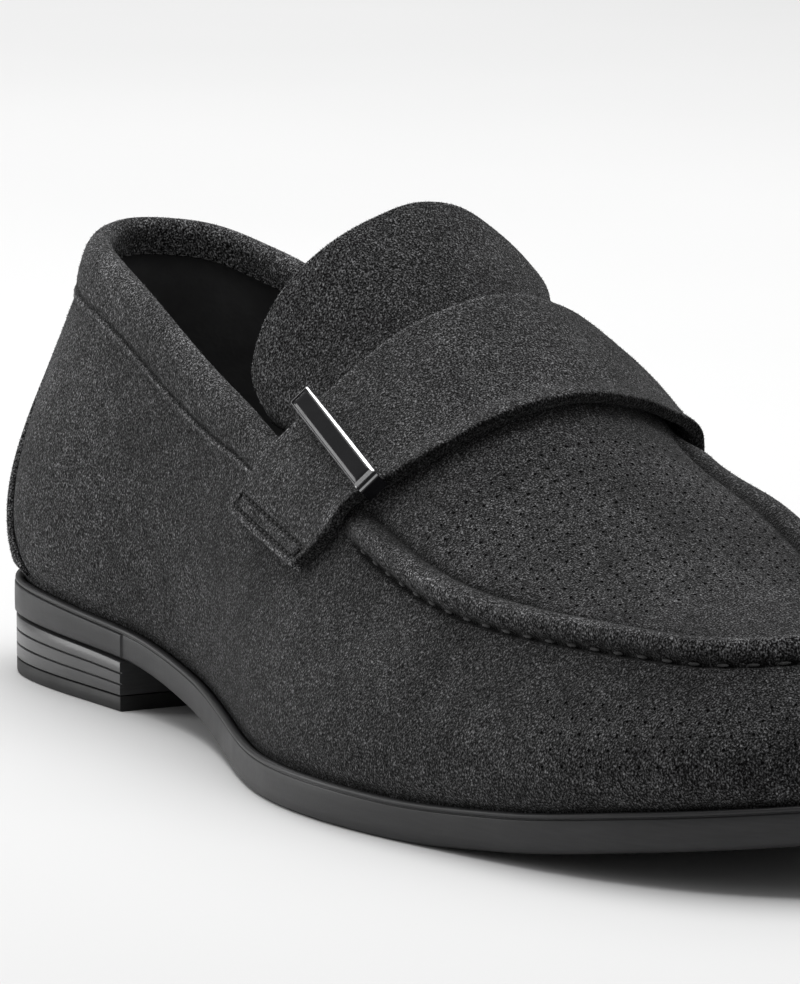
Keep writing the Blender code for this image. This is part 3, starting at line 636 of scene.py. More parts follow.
def curve_at(table, numbers):
    """Points on a cubic through a table at row numbers, which may lie between rows."""
    rows = np.array(table, float)[:, None, :]
    at = np.interp(numbers, np.arange(len(table)), spacing(rows)[:, 0])
    return through(np.repeat(rows, len(at), axis=1), at)


def distance_to_line(points, start, end):
    """Distance of points from a straight stretch."""
    axis = end - start
    part = np.clip(np.sum((points - start) * axis, -1) / np.sum(axis * axis), 0.0, 1.0)
    return np.linalg.norm(points - start - part[..., None] * axis, axis=-1), part


def lumps(p):
    """Slow unevenness of hand-lasted suede, about -1 to 1."""
    x, y, z = p[..., 0], p[..., 1], p[..., 2]
    wide = 0.5 * np.sin(x / 6.1 + 1.4 * np.sin(y / 7.3 + 0.6) + z / 9.0)
    middle = 0.3 * np.sin(y / 4.2 - x / 8.3 + 1.1 * np.sin(z / 5.2))
    narrow = 0.2 * np.sin(z / 3.1 + x / 5.0 + y / 3.7)
    return wide + middle + narrow


def creases(p):
    """Depth of the soft troughs at points of the upper."""
    depth = np.zeros(p.shape[:-1])
    for t0, s0, t1, s1, deep, half in CREASES:
        ends = wall(np.array([t0, t1]), np.array([s0, s1]))
        away, part = distance_to_line(p, ends[0], ends[1])
        depth += deep * bell(away, half) * np.sin(math.pi * (0.08 + 0.84 * part))
    return depth


class Gathered:
    """Grids of points gathered into one mesh, with wear and painted light and shade per point, nap per point
    and a finish per face.
    """

    def __init__(self):
        self.points = []
        self.wear_and_painted_light = []
        self.nap = []
        self.quads = []
        self.finish = []
        self.count = 0

    def grid(self, rows, wear_and_painted_light=0.0, nap=0.0, finish=0, wrap=False):
        rows = np.asarray(rows, float)
        shape = rows.shape[:2]
        index = self.count + np.arange(shape[0] * shape[1]).reshape(shape)
        if wrap:
            index = np.concatenate([index, index[:, :1]], axis=1)
        quads = np.stack([index[:-1, :-1], index[:-1, 1:], index[1:, 1:], index[1:, :-1]], -1)
        self.quads.append(quads.reshape(-1, 4))
        self.finish.append(np.broadcast_to(finish, quads.shape[:2]).reshape(-1))
        self.points.append(rows.reshape(-1, 3))
        self.wear_and_painted_light.append(np.broadcast_to(wear_and_painted_light, shape).reshape(-1))
        self.nap.append(np.broadcast_to(nap, shape).reshape(-1))
        self.count += shape[0] * shape[1]

    def cap(self, ring, finish=0):
        """Rungs across a ring that starts at one end of its long axis."""
        half = len(ring) // 2
        back = [(len(ring) - i) % len(ring) for i in range(half + 1)]
        rungs = np.linspace(0.0, 1.0, 9)[:, None, None]
        self.grid(ring[:half + 1] * (1 - rungs) + ring[back] * rungs, finish=finish)

    def shell(self, under, over, wear_and_painted_light, nap, finish=0):
        """Closed leaf between two grids of the same size."""
        self.grid(under, wear_and_painted_light, nap, finish)
        self.grid(over, wear_and_painted_light, nap, finish)
        borders = ((under[0], over[0], wear_and_painted_light[0]), (under[-1], over[-1], wear_and_painted_light[-1]),
                   (under[:, 0], over[:, 0], wear_and_painted_light[:, 0]), (under[:, -1], over[:, -1], wear_and_painted_light[:, -1]))
        for low, high, edge in borders:
            self.grid([low, high], np.stack([edge, edge]), np.max(nap), finish)

    def mesh(self, name, looks):
        """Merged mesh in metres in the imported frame, with its faces turned outwards."""
        points = packed(np.concatenate(self.points))
        mesh = bpy.data.meshes.new(name)
        mesh.from_pydata(points.tolist(), [], np.concatenate(self.quads).tolist())
        for label, values in (("wear_and_shading", self.wear_and_painted_light), ("nap", self.nap)):
            layer = mesh.attributes.new(label, "FLOAT", "POINT")
            layer.data.foreach_set("value", np.concatenate(values).astype(np.float32))
        mesh.polygons.foreach_set("material_index", np.concatenate(self.finish).astype(np.int32))
        bm = bmesh.new()
        bm.from_mesh(mesh)
        bmesh.ops.remove_doubles(bm, verts=bm.verts, dist=MERGE)
        bmesh.ops.dissolve_degenerate(bm, edges=bm.edges, dist=SLIVER)
        bmesh.ops.recalc_face_normals(bm, faces=bm.faces)
        bm.to_mesh(mesh)
        bm.free()
        for look in looks:
            mesh.materials.append(look)
        mesh.shade_smooth()
        return mesh


def frame_centre():
    """Point of the maker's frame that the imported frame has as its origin."""
    low = np.array(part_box("outsole")[0]) / MM
    widest = min(row[0] for row in SOLE_EDGE)
    ring = outline(np.arange(SECTIONS) * TURN / SECTIONS, widest, 0.0)
    return np.array([ring[:, 0].min() - low[0], ring[:, 1].min() - low[1], 0.0])


CENTRE = frame_centre()


def packed(points):
    """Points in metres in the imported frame."""
    return (np.asarray(points, float) - CENTRE) * MM


def place(name, mesh, nodes=()):
    """Object at the origin that rides on the shoe and stands for the named solids."""
    piece = bpy.data.objects.new(name, mesh)
    bpy.context.scene.collection.objects.link(piece)
    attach(piece, "root")
    if nodes:
        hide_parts(*nodes)
    return piece


def node(tree, kind, values=None, **settings):
    """Node with its settings and inputs; an input takes a value or another node's output."""
    made = tree.nodes.new(kind)
    for label, value in settings.items():
        setattr(made, label, value)
    for label, value in (values or {}).items():
        if isinstance(value, bpy.types.NodeSocket):
            tree.links.new(value, made.inputs[label])
        else:
            made.inputs[label].default_value = value
    return made


def maths(tree, operation, first, second):
    return node(tree, "ShaderNodeMath", {0: first, 1: second}, operation=operation).outputs[0]


def spread(tree, value, low, high, to_low, to_high):
    """Value mapped from one range to another and held inside it."""
    values = {"Value": value, "From Min": low, "From Max": high, "To Min": to_low, "To Max": to_high}
    return node(tree, "ShaderNodeMapRange", values).outputs["Result"]


def grain(tree, where, scale, detail=2.0, roughness=0.6):
    values = {"Vector": where, "Scale": scale, "Detail": detail, "Roughness": roughness}
    return node(tree, "ShaderNodeTexNoise", values).outputs["Fac"]


def varied(tree, noise, low, high):
    """Noise mapped from its usual range to another."""
    return spread(tree, noise, *NOISE_RANGE, low, high)


def object_space(tree):
    return node(tree, "ShaderNodeTexCoord").outputs["Object"]


def drawn_out(tree, where, scale):
    """Coordinates scaled along each axis, so that a pattern is drawn out."""
    return node(tree, "ShaderNodeMapping", {"Vector": where, "Scale": scale}).outputs["Vector"]


def paint(tree, shader, colour, strength):
    """Base colour multiplied by a varying strength."""
    values = {0: colour, "Scale": strength}
    shade = node(tree, "ShaderNodeVectorMath", values, operation="SCALE").outputs["Vector"]
    tree.links.new(shade, shader.inputs["Base Color"])


def new_look(name, roughness, **constants):
    """Material with its constant values set on the shader's own sockets."""
    look = bpy.data.materials.new(name)
    look.use_nodes = True
    shader = look.node_tree.nodes["Principled BSDF"]
    shader.inputs["Roughness"].default_value = roughness
    for label, value in constants.items():
        shader.inputs[label.replace("_", " ")].default_value = value
    return look, look.node_tree, shader


def bumped(tree, shader, height, strength, distance):
    values = {"Height": height, "Strength": strength, "Distance": distance}
    tree.links.new(node(tree, "ShaderNodeBump", values).outputs["Normal"], shader.inputs["Normal"])


def suede_look(settings):
    """Brushed suede: speckled short nap, slow mottling, lighter cut edges from wear, painted highlights and
    painted shade, soft sheen.
    """
    look, tree, shader = new_look("charcoal_suede", 0.96, Sheen_Weight=0.08, Sheen_Roughness=0.5,
                                  Specular_IOR_Level=0.06)
    where = object_space(tree)
    speck = grain(tree, drawn_out(tree, where, (1.0, 1.0, 0.8)), scale=3000.0, detail=1.5, roughness=0.5)
    tuft = grain(tree, where, scale=700.0, detail=2.0, roughness=0.55)
    mottle = grain(tree, where, scale=190.0, detail=3.0, roughness=0.6)
    patch = grain(tree, where, scale=34.0, detail=2.0, roughness=0.55)
    wear_and_shading = node(tree, "ShaderNodeAttribute", attribute_name="wear_and_shading").outputs["Fac"]
    tip = maths(tree, "POWER", spread(tree, speck, 0.28, 0.76, 0.0, 1.0), 3.0)
    strength = maths(tree, "MULTIPLY", tip, 6.0)
    shades = (
        spread(tree, tuft, 0.35, 0.65, 0.8, 1.2),
        varied(tree, mottle, 0.78, 1.22),
        varied(tree, patch, 0.76, 1.24),
        # the attribute lightens cut edges from wear and carries painted highlights and painted shade in
        # crevices and grooves
        spread(tree, wear_and_shading, -1.0, 2.0, 1.0 - settings.wear_and_shading, 1.0 + 2.0 * settings.wear_and_shading),
    )
    for shade in shades:
        strength = maths(tree, "MULTIPLY", strength, shade)
    paint(tree, shader, settings.tone, strength)
    bumped(tree, shader, maths(tree, "ADD", speck, tuft), strength=1.0, distance=0.0006)
    return look


def rubber_look(name, colour, roughness, coat=0.0):
    """Moulded rubber with faint scuffs and an uneven satin face."""
    look, tree, shader = new_look(name, roughness, Specular_IOR_Level=0.36, Coat_Weight=coat,
                                  Coat_Roughness=0.25)
    where = object_space(tree)
    fine = grain(tree, where, scale=2600.0, detail=2.0, roughness=0.6)
    cloud = grain(tree, where, scale=90.0, detail=3.0, roughness=0.6)
    scuff = grain(tree, drawn_out(tree, where, (0.25, 0.25, 2.5)), scale=700.0, detail=2.0, roughness=0.5)
    rubbed = spread(tree, scuff, 0.35, 0.7, 0.9, 1.16)
    paint(tree, shader, colour, maths(tree, "MULTIPLY", varied(tree, cloud, 0.82, 1.18), rubbed))
    satin = varied(tree, cloud, roughness - 0.05, roughness + 0.07)
    tree.links.new(satin, shader.inputs["Roughness"])
    bumped(tree, shader, maths(tree, "ADD", fine, scuff), strength=0.12, distance=0.0002)
    return look


def lining_look(name, colour):
    """Smooth lining leather with a fine pebble."""
    look, tree, shader = new_look(name, 0.7, Specular_IOR_Level=0.3)
    where = object_space(tree)
    pebble = node(tree, "ShaderNodeTexVoronoi", {"Vector": where, "Scale": 900.0}).outputs["Distance"]
    cloud = grain(tree, where, scale=70.0, detail=3.0, roughness=0.6)
    paint(tree, shader, colour, varied(tree, cloud, 0.75, 1.25))
    bumped(tree, shader, pebble, strength=0.25, distance=0.0003)
    return look


def metal_look(colour):
    """Polished metal with faint hairlines."""
    look, tree, shader = new_look("polished_metal", 0.14, Metallic=1.0)
    drawn = drawn_out(tree, object_space(tree), (0.2, 3.0, 1.0))
    hairline = grain(tree, drawn, scale=1500.0, detail=2.0, roughness=0.5)
    paint(tree, shader, colour, varied(tree, hairline, 0.92, 1.06))
    tree.links.new(varied(tree, hairline, 0.1, 0.2), shader.inputs["Roughness"])
    return look


def enamel_look(colour):
    """Bare black enamel with a slight unevenness."""
    look, tree, shader = new_look("black_enamel", 0.14, Specular_IOR_Level=0.3)
    cloud = grain(tree, object_space(tree), scale=300.0, detail=2.0, roughness=0.5)
    paint(tree, shader, colour, varied(tree, cloud, 0.85, 1.15))
    tree.links.new(varied(tree, cloud, 0.1, 0.18), shader.inputs["Roughness"])
    return look


def thread_look(name, colour, roughness=0.8):
    """Twisted sewing thread."""
    look, tree, shader = new_look(name, roughness, Sheen_Weight=0.15)
    twist = grain(tree, object_space(tree), scale=2200.0, detail=1.0, roughness=0.5)
    paint(tree, shader, colour, varied(tree, twist, 0.65, 1.35))
    bumped(tree, shader, twist, strength=0.4, distance=0.0002)
    return look


def hole_look():
    """Unlit inside of a pinhole."""
    look, _, shader = new_look("pinhole_dark", 1.0, Specular_IOR_Level=0.0)
    shader.inputs["Base Color"].default_value = (0.003, 0.003, 0.003, 1.0)
    return look


def shared_look(name, make, *values):
    """Material by name, made the first time it is asked for."""
    return bpy.data.materials.get(name) or make(*values)


def suede():
    return shared_look("charcoal_suede", suede_look, bpy.context.scene.loafer.suede)


def lining():
    return shared_look("black_lining", lining_look, "black_lining", bpy.context.scene.loafer.suede.lining)


def seam_points(t):
    """Points in the crevice at the foot of the rolled seam, on the wall side."""
    s = 1 - SEAM_DEPTH / wall_length(t)
    return wall(t, s) - wall_normal(t, s) * SEAM_SUNK


def collar_pad(t):
    """Thickness of the collar with its padding."""
    return WALL + (PADDING - WALL) * (1 - smooth(*PADDING_FADE, along(t)))


def upper_sections():
    """Stations round the upper with the shares that shape them there."""
    t = np.arange(ROUND) * TURN / ROUND
    seam = seam_points(t)
    run = np.concatenate([[0.0], np.cumsum(np.linalg.norm(np.diff(seam, axis=0), axis=1))])
    run = run - np.interp(SEAM_ENDS[0], t, run)
    return t, collar_share(t), bead_share(t), wall_length(t), collar_pad(t), run


def outer_rows(pitch):
    """Rows of the wall from the sole to the top edge, with painted light and shade: collar roll at the back,
    bead in front.
    """
    t, share, bead, length, _, run = upper_sections()
    pulled = np.cos(2 * math.pi * run / pitch)
    scale = collar_size(along(t))
    shade = painted_light_along(along(t))
    depth = TOP_DEPTH * (share * scale + 1 - share)
    foot, foot_reach = FOOT_PAINTED_SHADE
    pucker, pucker_down, pucker_reach = PUCKER
    rows = []
    wear_and_painted_light = []
    for part in LOW_PARTS:
        s = part * (1 - depth / length)
        point = wall(t, s)
        away = LUMP * smooth(*LUMP_RISE, s) * lumps(point) - creases(point) * smooth(*LUMP_RISE, s)
        rows.append(point + wall_normal(t, s) * away[:, None])
        # painted light along the shoe, with painted shade at the foot of the wall
        wear_and_painted_light.append(shade + foot * (1 - smooth(0.0, foot_reach, s)))
    collar = curve_at(COLLAR_SECTION, COLLAR_NUMBERS)
    for (collar_down, collar_off), bead_down in zip(collar, BEAD_DOWNS):
        down = share * scale * collar_down + (1 - share) * bead_down
        s = 1 - down / length
        point = wall(t, s)
        lift = bead_offset(-bead_down) + pucker * pulled * bell(bead_down - pucker_down, pucker_reach)
        off = share * collar_off + (1 - share) * bead * lift
        off = off + smooth(0.0, PLAIN_SEAM, bead_down) * (LUMP * lumps(point) - creases(point))
        turned = math.exp(-bead_down / SEAM_TURN)
        direction = (1 - turned) * wall_normal(t, s) + turned * edge_normal(t)
        direction = unit(share[:, None] * wall_normal(t, s) + (1 - share)[:, None] * direction)
        rows.append(point + direction * off[:, None])
        # painted highlight on each pucker and painted shade between them
        crevice = pulled * falloff_beside(bead_down - SEAM_DEPTH, PUCKER_PAINTED_LIGHT)
        # painted light of the collar and of the rolled seam: highlights on rim, ridge and crest, shade in
        # the grooves
        edge = share * collar_painted_light(collar_down) + (1 - share) * bead * (bead_painted_light(-bead_down) + crevice)
        wear_and_painted_light.append(edge + shade * np.maximum(share, smooth(0.0, SHADE_START, bead_down)))
    return np.array(rows), np.array(wear_and_painted_light)


def inner_rows():
    """Rows of the lining side from under the collar roll to the sole, and how many belong to the facing."""
    t, share, _, length, pad, _ = upper_sections()
    rows = []
    for down in INNER_DOWNS:
        s = 1 - down / length
        thick = WALL + (pad - WALL) * facing_part(down)
        rows.append(wall(t, s) - wall_normal(t, s) * thick[:, None])
    seam = top_edge(t) - edge_normal(t) * SEAM_WALL
    rows[0] = share[:, None] * rows[0] + (1 - share)[:, None] * seam
    low = 1 - INNER_DOWNS[-1] / length
    for part in INNER_PARTS:
        s = low * part
        rows.append(wall(t, s) - wall_normal(t, s) * WALL)
    return np.array(rows), INNER_DOWNS.index(FACING_DEPTH)


def roll_rows(outer, inner):
    """Rows over the rim of the collar, from the outer side to the inner side."""
    t, _, _, length, pad, _ = upper_sections()
    rows = [outer[-3], outer[-1]]
    for down, part in ROLL_ROWS:
        s = 1 - down / length
        rows.append(wall(t, s) - wall_normal(t, s) * (pad * part)[:, None])
    rows += [inner[0], inner[2]]
    control = np.array(rows)
    at = spacing(control)
    return np.array([through(control, at[1] + (at[4] - at[1]) * f) for f in np.linspace(0.0, 1.0, 13)])


def apron_width(k):
    """Width of the apron over its crown at one station."""
    return np.linalg.norm(top_edge(TURN - k) - top_edge(k)) + 2 * crown(k)


def apron_rung(k):
    """Places across the apron, close together beside the seams."""
    width = apron_width(k)
    fold = min(1.0, width / BEAD_FULL_WIDTH)
    near = BESIDE_SEAM * fold / width
    plain = np.linspace(PLAIN_APRON, 1 - PLAIN_APRON, APRON_ROWS)
    return np.concatenate([near, plain, 1 - near[::-1]])


def apron_grid():
    """Apron with its rolled seam: points, painted light and underside points."""
    first = THROAT * ROUND // TURN
    t = np.arange(ROUND) * TURN / ROUND
    seam_t = np.linspace(THROAT, TURN - THROAT, 900)
    seam = top_edge(seam_t)
    seam_out = edge_normal(seam_t)
    seam_bead = bead_share(seam_t)
    over = []
    wear_and_painted_light = []
    under = []
    for i in range(first, ROUND // 2):
        k = t[i]
        a = apron_rung(k)
        point = apron(k, a)
        out = apron_normal(np.full_like(a, k), a)
        apart = np.linalg.norm(point[:, None, :] - seam[None], axis=-1)
        nearest = np.argmin(apart, axis=1)
        away = apart[np.arange(len(a)), nearest]
        away[0] = 0.0
        away[-1] = 0.0
        blend = np.exp(-away / SEAM_TURN)[:, None]
        direction = unit((1 - blend) * out + blend * seam_out[nearest])
        direction[0] = edge_normal(k)
        direction[-1] = edge_normal(TURN - k)
        bead = seam_bead[nearest]
        bead[0] = bead_share(k)
        bead[-1] = bead_share(TURN - k)
        lift = bead * bead_offset(away) + smooth(1.0, PLAIN_SEAM, away) * LUMP * lumps(point)
        over.append(point + direction * lift[:, None])
        # painted highlight on the seam's crest and painted shade in its grooves
        wear_and_painted_light.append(bead * bead_painted_light(away))
        under.append(point - out * WALL)
    return np.array(over), np.array(wear_and_painted_light), np.array(under)


def make_upper(settings):
    """Upper as one closed wall: outer side, collar roll, facing, lining, apron and its underside."""
    made = Gathered()
    outer, wear_and_painted_light = outer_rows(settings.seam_pitch / MM)
    inner, facing = inner_rows()
    roll = roll_rows(outer, inner)
    made.grid(outer, wear_and_painted_light, 1.0, wrap=True)
    finish = np.where(np.arange(len(inner) - 1) < facing, 0, 1)[:, None]
    # painted light inside the facing
    inside = np.where(np.arange(len(inner)) <= facing, FACING_PAINTED_LIGHT, 0.0)[:, None]
    made.grid(inner, inside, 0.0, np.repeat(finish, ROUND, axis=1), wrap=True)
    # painted shade on the seat under the wall
    made.grid([inner[-1], outer[0]], SEAT_PAINTED_SHADE, 0.0, 1, wrap=True)
    first = THROAT * ROUND // TURN
    collar = np.arange(-first, first + 1) % ROUND
    # painted light over the collar's rim
    rim_light = np.linspace(*RIM_PAINTED_LIGHT, len(roll))[:, None] * np.ones(len(collar))
    made.grid(roll[:, collar], rim_light, 1.0)
    over, over_light, under = apron_grid()
    toe = ROUND // 2
    mirror = ROUND - np.arange(first, toe)
    over[:, 0] = outer[-1][first:toe]
    over[:, -1] = outer[-1][mirror]
    under[:, 0] = inner[0][first:toe]
    under[:, -1] = inner[0][mirror]
    tip_over = np.repeat(outer[-1][toe][None, None], over.shape[1], axis=1)
    tip_under = np.repeat(inner[0][toe][None, None], over.shape[1], axis=1)
    made.grid(np.concatenate([over, tip_over]), np.concatenate([over_light, over_light[-1:]]), 1.0)
    made.grid(np.concatenate([under, tip_under]), 0.0, 0.0, 1)
    made.grid([over[0], under[0]], 0.0, 0.0)
    for end in (first, ROUND - first):
        lip = roll[:, end]
        half = len(lip) // 2
        made.grid([lip[:half + 1], lip[::-1][:half + 1]], 0.0, 0.0)
    return made.mesh("suede_upper", [suede(), lining()])


def girth(tau, height):
    """Control points over the instep at stations tau, at a height above the upper, a column per station."""
    seat = height + COLLAR_SWELL * collar_share(tau)
    sides = []
    for t in (tau, TURN - tau):
        side = []
        for s, spare in GIRTH_WALL:
            share = np.full_like(t, s)
            side.append(wall(t, share) + wall_normal(t, share) * (seat + spare)[:, None])
        lift = height + STRAP_SPARE + BEAD_HEIGHT * bead_share(t)
        side.append(top_edge(t) + edge_normal(t) * lift[:, None])
        sides.append(side)
    across = [*GIRTH_APRON, (0.5, 0.0)] + [(1 - a, spare) for a, spare in reversed(GIRTH_APRON)]
    over = []
    for a, spare in across:
        share = np.full_like(tau, a)
        over.append(apron(tau, share) + apron_normal(tau, share) * (height + spare)[:, None])
    return np.array(sides[0] + over + sides[1][::-1])


def strap_points(f, q, height):
    """Points of the strap: f from its rear to its front edge, q from the outer to the inner end."""
    f, q, height = np.broadcast_arrays(np.asarray(f, float), np.asarray(q, float), np.asarray(height, float))
    shape = f.shape
    f, q, height = f.ravel(), q.ravel(), height.ravel()
    rear = strap_rear(q)
    front = strap_front(q)
    return through(girth(rear + (front - rear) * f, height), q).reshape(*shape, 3)


def stand_off(f, q):
    """How far the strap's front edge stands off the apron."""
    return STRAP_LIFT * smooth(STRAP_LIFT_FROM, 1.0, f) * np.sin(math.pi * q) ** 2


def graded(size, count, edge):
    """Shares from 0 to 1, close together within a distance of both ends."""
    fine = np.concatenate([CLOSE_ROWS, np.arange(CLOSE_ROWS[-1] + CLOSE_STEP, edge, CLOSE_STEP)]) / size
    plain = (edge + PLAIN_GAP) / size
    return np.concatenate([fine, np.linspace(plain, 1 - plain, count), 1 - fine[::-1]])


def running(points, axis):
    """Distance along one direction of a grid from its first row or column."""
    size = np.linalg.norm(np.diff(points, axis=axis), axis=-1)
    start = np.zeros_like(np.take(size, [0], axis=axis))
    return np.concatenate([start, np.cumsum(size, axis=axis)], axis=axis)


def border(points):
    """Distance of each grid point from the nearest border of its grid."""
    down = running(points, 0)
    across = running(points, 1)
    return np.minimum(np.minimum(down, down[-1:] - down), np.minimum(across, across[:, -1:] - across))


def rounded(distance, radius):
    """Drop of a rounded border at a distance from it."""
    left = np.clip(radius - distance, 0.0, radius)
    return radius - np.sqrt(radius * radius - left * left)


def edge_nap(distance):
    """Density of the nap, thicker along a cut edge."""
    return 1.0 + falloff_beside(distance, CUT_FRAY)


def box_lines(rear, front, end):
    """Distance from the box stitch, from distances to the strap's rear edge, front edge and end."""
    near, far = BOX_STITCH
    behind, ahead = BOX_MARGIN
    beside = np.maximum(np.maximum(behind - rear, ahead - front), 0.0)
    between = np.maximum(np.maximum(near - end, end - far), 0.0)
    lines = [np.hypot(end - near, beside), np.hypot(end - far, beside),
             np.hypot(rear - behind, between), np.hypot(front - ahead, between)]
    return np.min(lines, axis=0)


def strap_grid():
    """Places on the strap as f and q, with their distances from its edges and its ends."""
    f, q = np.meshgrid(graded(STRAP_WIDTH, *STRAP_ROWS), graded(STRAP_LENGTH, *STRAP_COLUMNS), indexing="ij")
    middle = strap_points(f, q, STRAP_CLEAR + STRAP_THICK / 2 + stand_off(f, q))
    down = running(middle, 0)
    across = running(middle, 1)
    return f, q, middle, (down, down[-1:] - down, across, across[:, -1:] - across)


def make_strap():
    """Saddle strap: a thick band with cut edges, sunk along its box stitches."""
    f, q, middle, (rear, front, outer, inner) = strap_grid()
    end = np.minimum(outer, inner)
    edge = np.minimum(np.minimum(rear, front), end)
    depth, half = STITCH_GROOVE
    sewn = box_lines(rear, front, end)
    groove = depth * bell(sewn, half)
    drop = rounded(edge, STRAP_ROUND)
    base = STRAP_CLEAR + stand_off(f, q)
    over = strap_points(f, q, base + STRAP_THICK - drop - groove + STRAP_LUMP * lumps(middle))
    under = strap_points(f, q, base + 0.5 * drop)
    patch, patch_half, patch_in, patch_reach, amount = STRAP_PATCH
    wear_and_painted_light = PLAIN_WEAR + falloff_beside(rear, STRAP_REAR_WEAR) + falloff_beside(end, STRAP_END_WEAR)
    # painted shade in the stitch grooves
    wear_and_painted_light = wear_and_painted_light + falloff_beside(sewn, STRAP_SEWN_PAINTED_SHADE)
    wear_and_painted_light = wear_and_painted_light + amount * bell(q - patch, patch_half) * bell(front - patch_in, patch_reach)
    # painted shade along the front edge, kept off the corners
    wear_and_painted_light = wear_and_painted_light + falloff_beside(front, STRAP_FRONT_PAINTED_SHADE) * (1 - bell(end, STRAP_CORNER))
    made = Gathered()
    made.shell(under, over, wear_and_painted_light, edge_nap(edge))
    return made.mesh("suede_strap", [suede()])


def tongue_grid(depth):
    """Tongue surface from its rear edge to under the apron, depth below the apron's outer side."""
    rear = curve_through(TONGUE_EDGE, TONGUE_COLUMNS)
    a = TONGUE_MARGIN + (1 - 2 * TONGUE_MARGIN) * np.linspace(0.0, 1.0, TONGUE_COLUMNS)
    rows = [apron(k, a) - apron_normal(np.full_like(a, k), a) * depth for k in TONGUE_ROOT]
    ahead = unit(rows[1] - rows[0])
    spans = np.linalg.norm(rows[0] - rear, axis=1)[:, None]
    lift = unit(rows[0] - rear)
    grid = []
    fine = np.array([*CLOSE_ROWS, 1.5, 2.0]) / TONGUE_LENGTH
    for f in np.concatenate([fine, np.linspace(0.07, 1.0, 36)]):
        rise = (3 - 2 * f) * f * f
        start = rear * (1 - rise) + rows[0] * rise
        grid.append(start + spans * (f * (1 - f) ** 2 * lift - f * f * (1 - f) * ahead))
    return np.array(grid + rows[1:])


def tongue_sides():
    """Middle of the tongue's outer side with its outward direction and the distance from its free edges."""
    over = tongue_grid(WALL + TONGUE_CLEAR)
    out = unit(np.cross(np.gradient(over, axis=0), np.gradient(over, axis=1)))
    down = running(over, 0)
    across = running(over, 1)
    edge = np.minimum(down, np.minimum(across, across[:, -1:] - across))
    return over, out, edge


def make_tongue():
    """Tongue: a leaf with a cut edge and a sewn line beside it."""
    over, out, edge = tongue_sides()
    drop = rounded(edge, TONGUE_ROUND)
    sewn = bell(edge - TONGUE_SEAM, TONGUE_SEAM_HALF)
    outer = over - out * (drop + TONGUE_SEAM_DEPTH * sewn)[..., None]
    inner = over - out * (TONGUE_THICK - drop)[..., None]
    strap = strap_points(np.zeros(200), np.linspace(0.05, 0.95, 200), STRAP_CLEAR)
    beside = np.min(np.linalg.norm(over[:, :, None] - strap, axis=-1), axis=-1)
    shadow, reach = TONGUE_PAINTED_SHADOW
    # lighter cut edge from wear and painted shade in the sewn line
    wear_and_painted_light = PLAIN_WEAR + falloff_beside(edge, TONGUE_EDGE_WEAR) + TONGUE_SEWN_PAINTED_SHADE * sewn
    # painted shadow of the strap on the tongue behind it
    wear_and_painted_light = wear_and_painted_light + shadow * np.exp(-beside / reach)
    made = Gathered()
    made.shell(inner, outer, wear_and_painted_light, edge_nap(edge))
    return made.mesh("suede_tongue", [suede()])


def make_back_stay():
    """Counter piece round the back of the heel, thinned at its borders."""
    close = np.array([1.0, 0.995, 0.985, 0.97])
    parts = np.concatenate([-close, np.linspace(-0.95, 0.95, 90), close[::-1]])
    rim = STAY_TOP - np.array([0.014, 0.008, 0.003, 0.0])
    top = np.concatenate([np.linspace(0.03, STAY_TOP - 0.02, 34), rim])
    s, part = np.meshgrid(top, parts, indexing="ij")
    half = STAY_HALF[1] + (STAY_HALF[0] - STAY_HALF[1]) * (1 - s) ** 3
    t = part * half
    face = wall(t, s)
    out = wall_normal(t, s)
    edge = border(face)
    drop = rounded(edge, STAY_THICK) * STAY_BEVEL
    away = STAY_CLEAR + STAY_THICK - drop + STAY_LUMP * lumps(face)
    # painted light over the stay and along its edges
    wear_and_painted_light = STAY_PAINTED_LIGHT + falloff_beside(edge, STAY_EDGE_PAINTED_LIGHT)
    made = Gathered()
    made.shell(face + out * STAY_UNDER, face + out * away[..., None], wear_and_painted_light, np.ones_like(wear_and_painted_light))
    return made.mesh("suede_back_stay", [suede()])


def sole_stations():
    """Stations round the sole, with close ones where the heel band ends."""
    t = np.arange(SOLE_PLACES) * TURN / SOLE_PLACES
    half = np.linspace(0.0, 8.0, 4000)
    extra = []
    for x in HEEL_LENGTH + np.array([-0.25, -0.1, 0.1, 0.25]):
        extra.append(np.interp(x, sole_x(half), half))
        extra.append(TURN - np.interp(x, sole_x(TURN - half), half))
    return np.sort(np.concatenate([t, extra]))


def make_outsole(look):
    """Rubber sole with its lip, welt groove, bevelled bottom edge and proud heel band."""
    t = sole_stations()
    band = HEEL_BAND * (1 - smooth(HEEL_LENGTH - BAND_FADE, HEEL_LENGTH + BAND_FADE, sole_x(t)))
    made = Gathered()
    rings = []
    for inset, part, rise, share in SOLE_EDGE:
        ring = outline(t, inset - band * share, 0.0)
        ring[:, 2] = bottom_z(ring[:, 0]) + edge_thick(ring[:, 0]) * part + rise
        rings.append(ring)
    made.grid(rings, wrap=True)
    made.cap(rings[0])
    made.cap(rings[-1])
    return made.mesh("rubber_outsole", [look])


def make_insole(look):
    """Sock lining with a rounded edge and a gentle hollow under the heel and the ball."""
    t = np.arange(INSOLE_PLACES) * TURN / INSOLE_PLACES
    made = Gathered()
    rings = []
    for inset, rise in INSOLE_EDGE:
        ring = outline(t, INSOLE_INSET + inset, 0.0)
        ring[:, 2] = bottom_z(ring[:, 0]) + edge_thick(ring[:, 0]) - SEAT_DEPTH + GAP + rise
        rings.append(ring)
    made.grid(rings, wrap=True)
    made.cap(rings[0])
    made.cap(rings[-1])
    return made.mesh("sock_insole", [look])


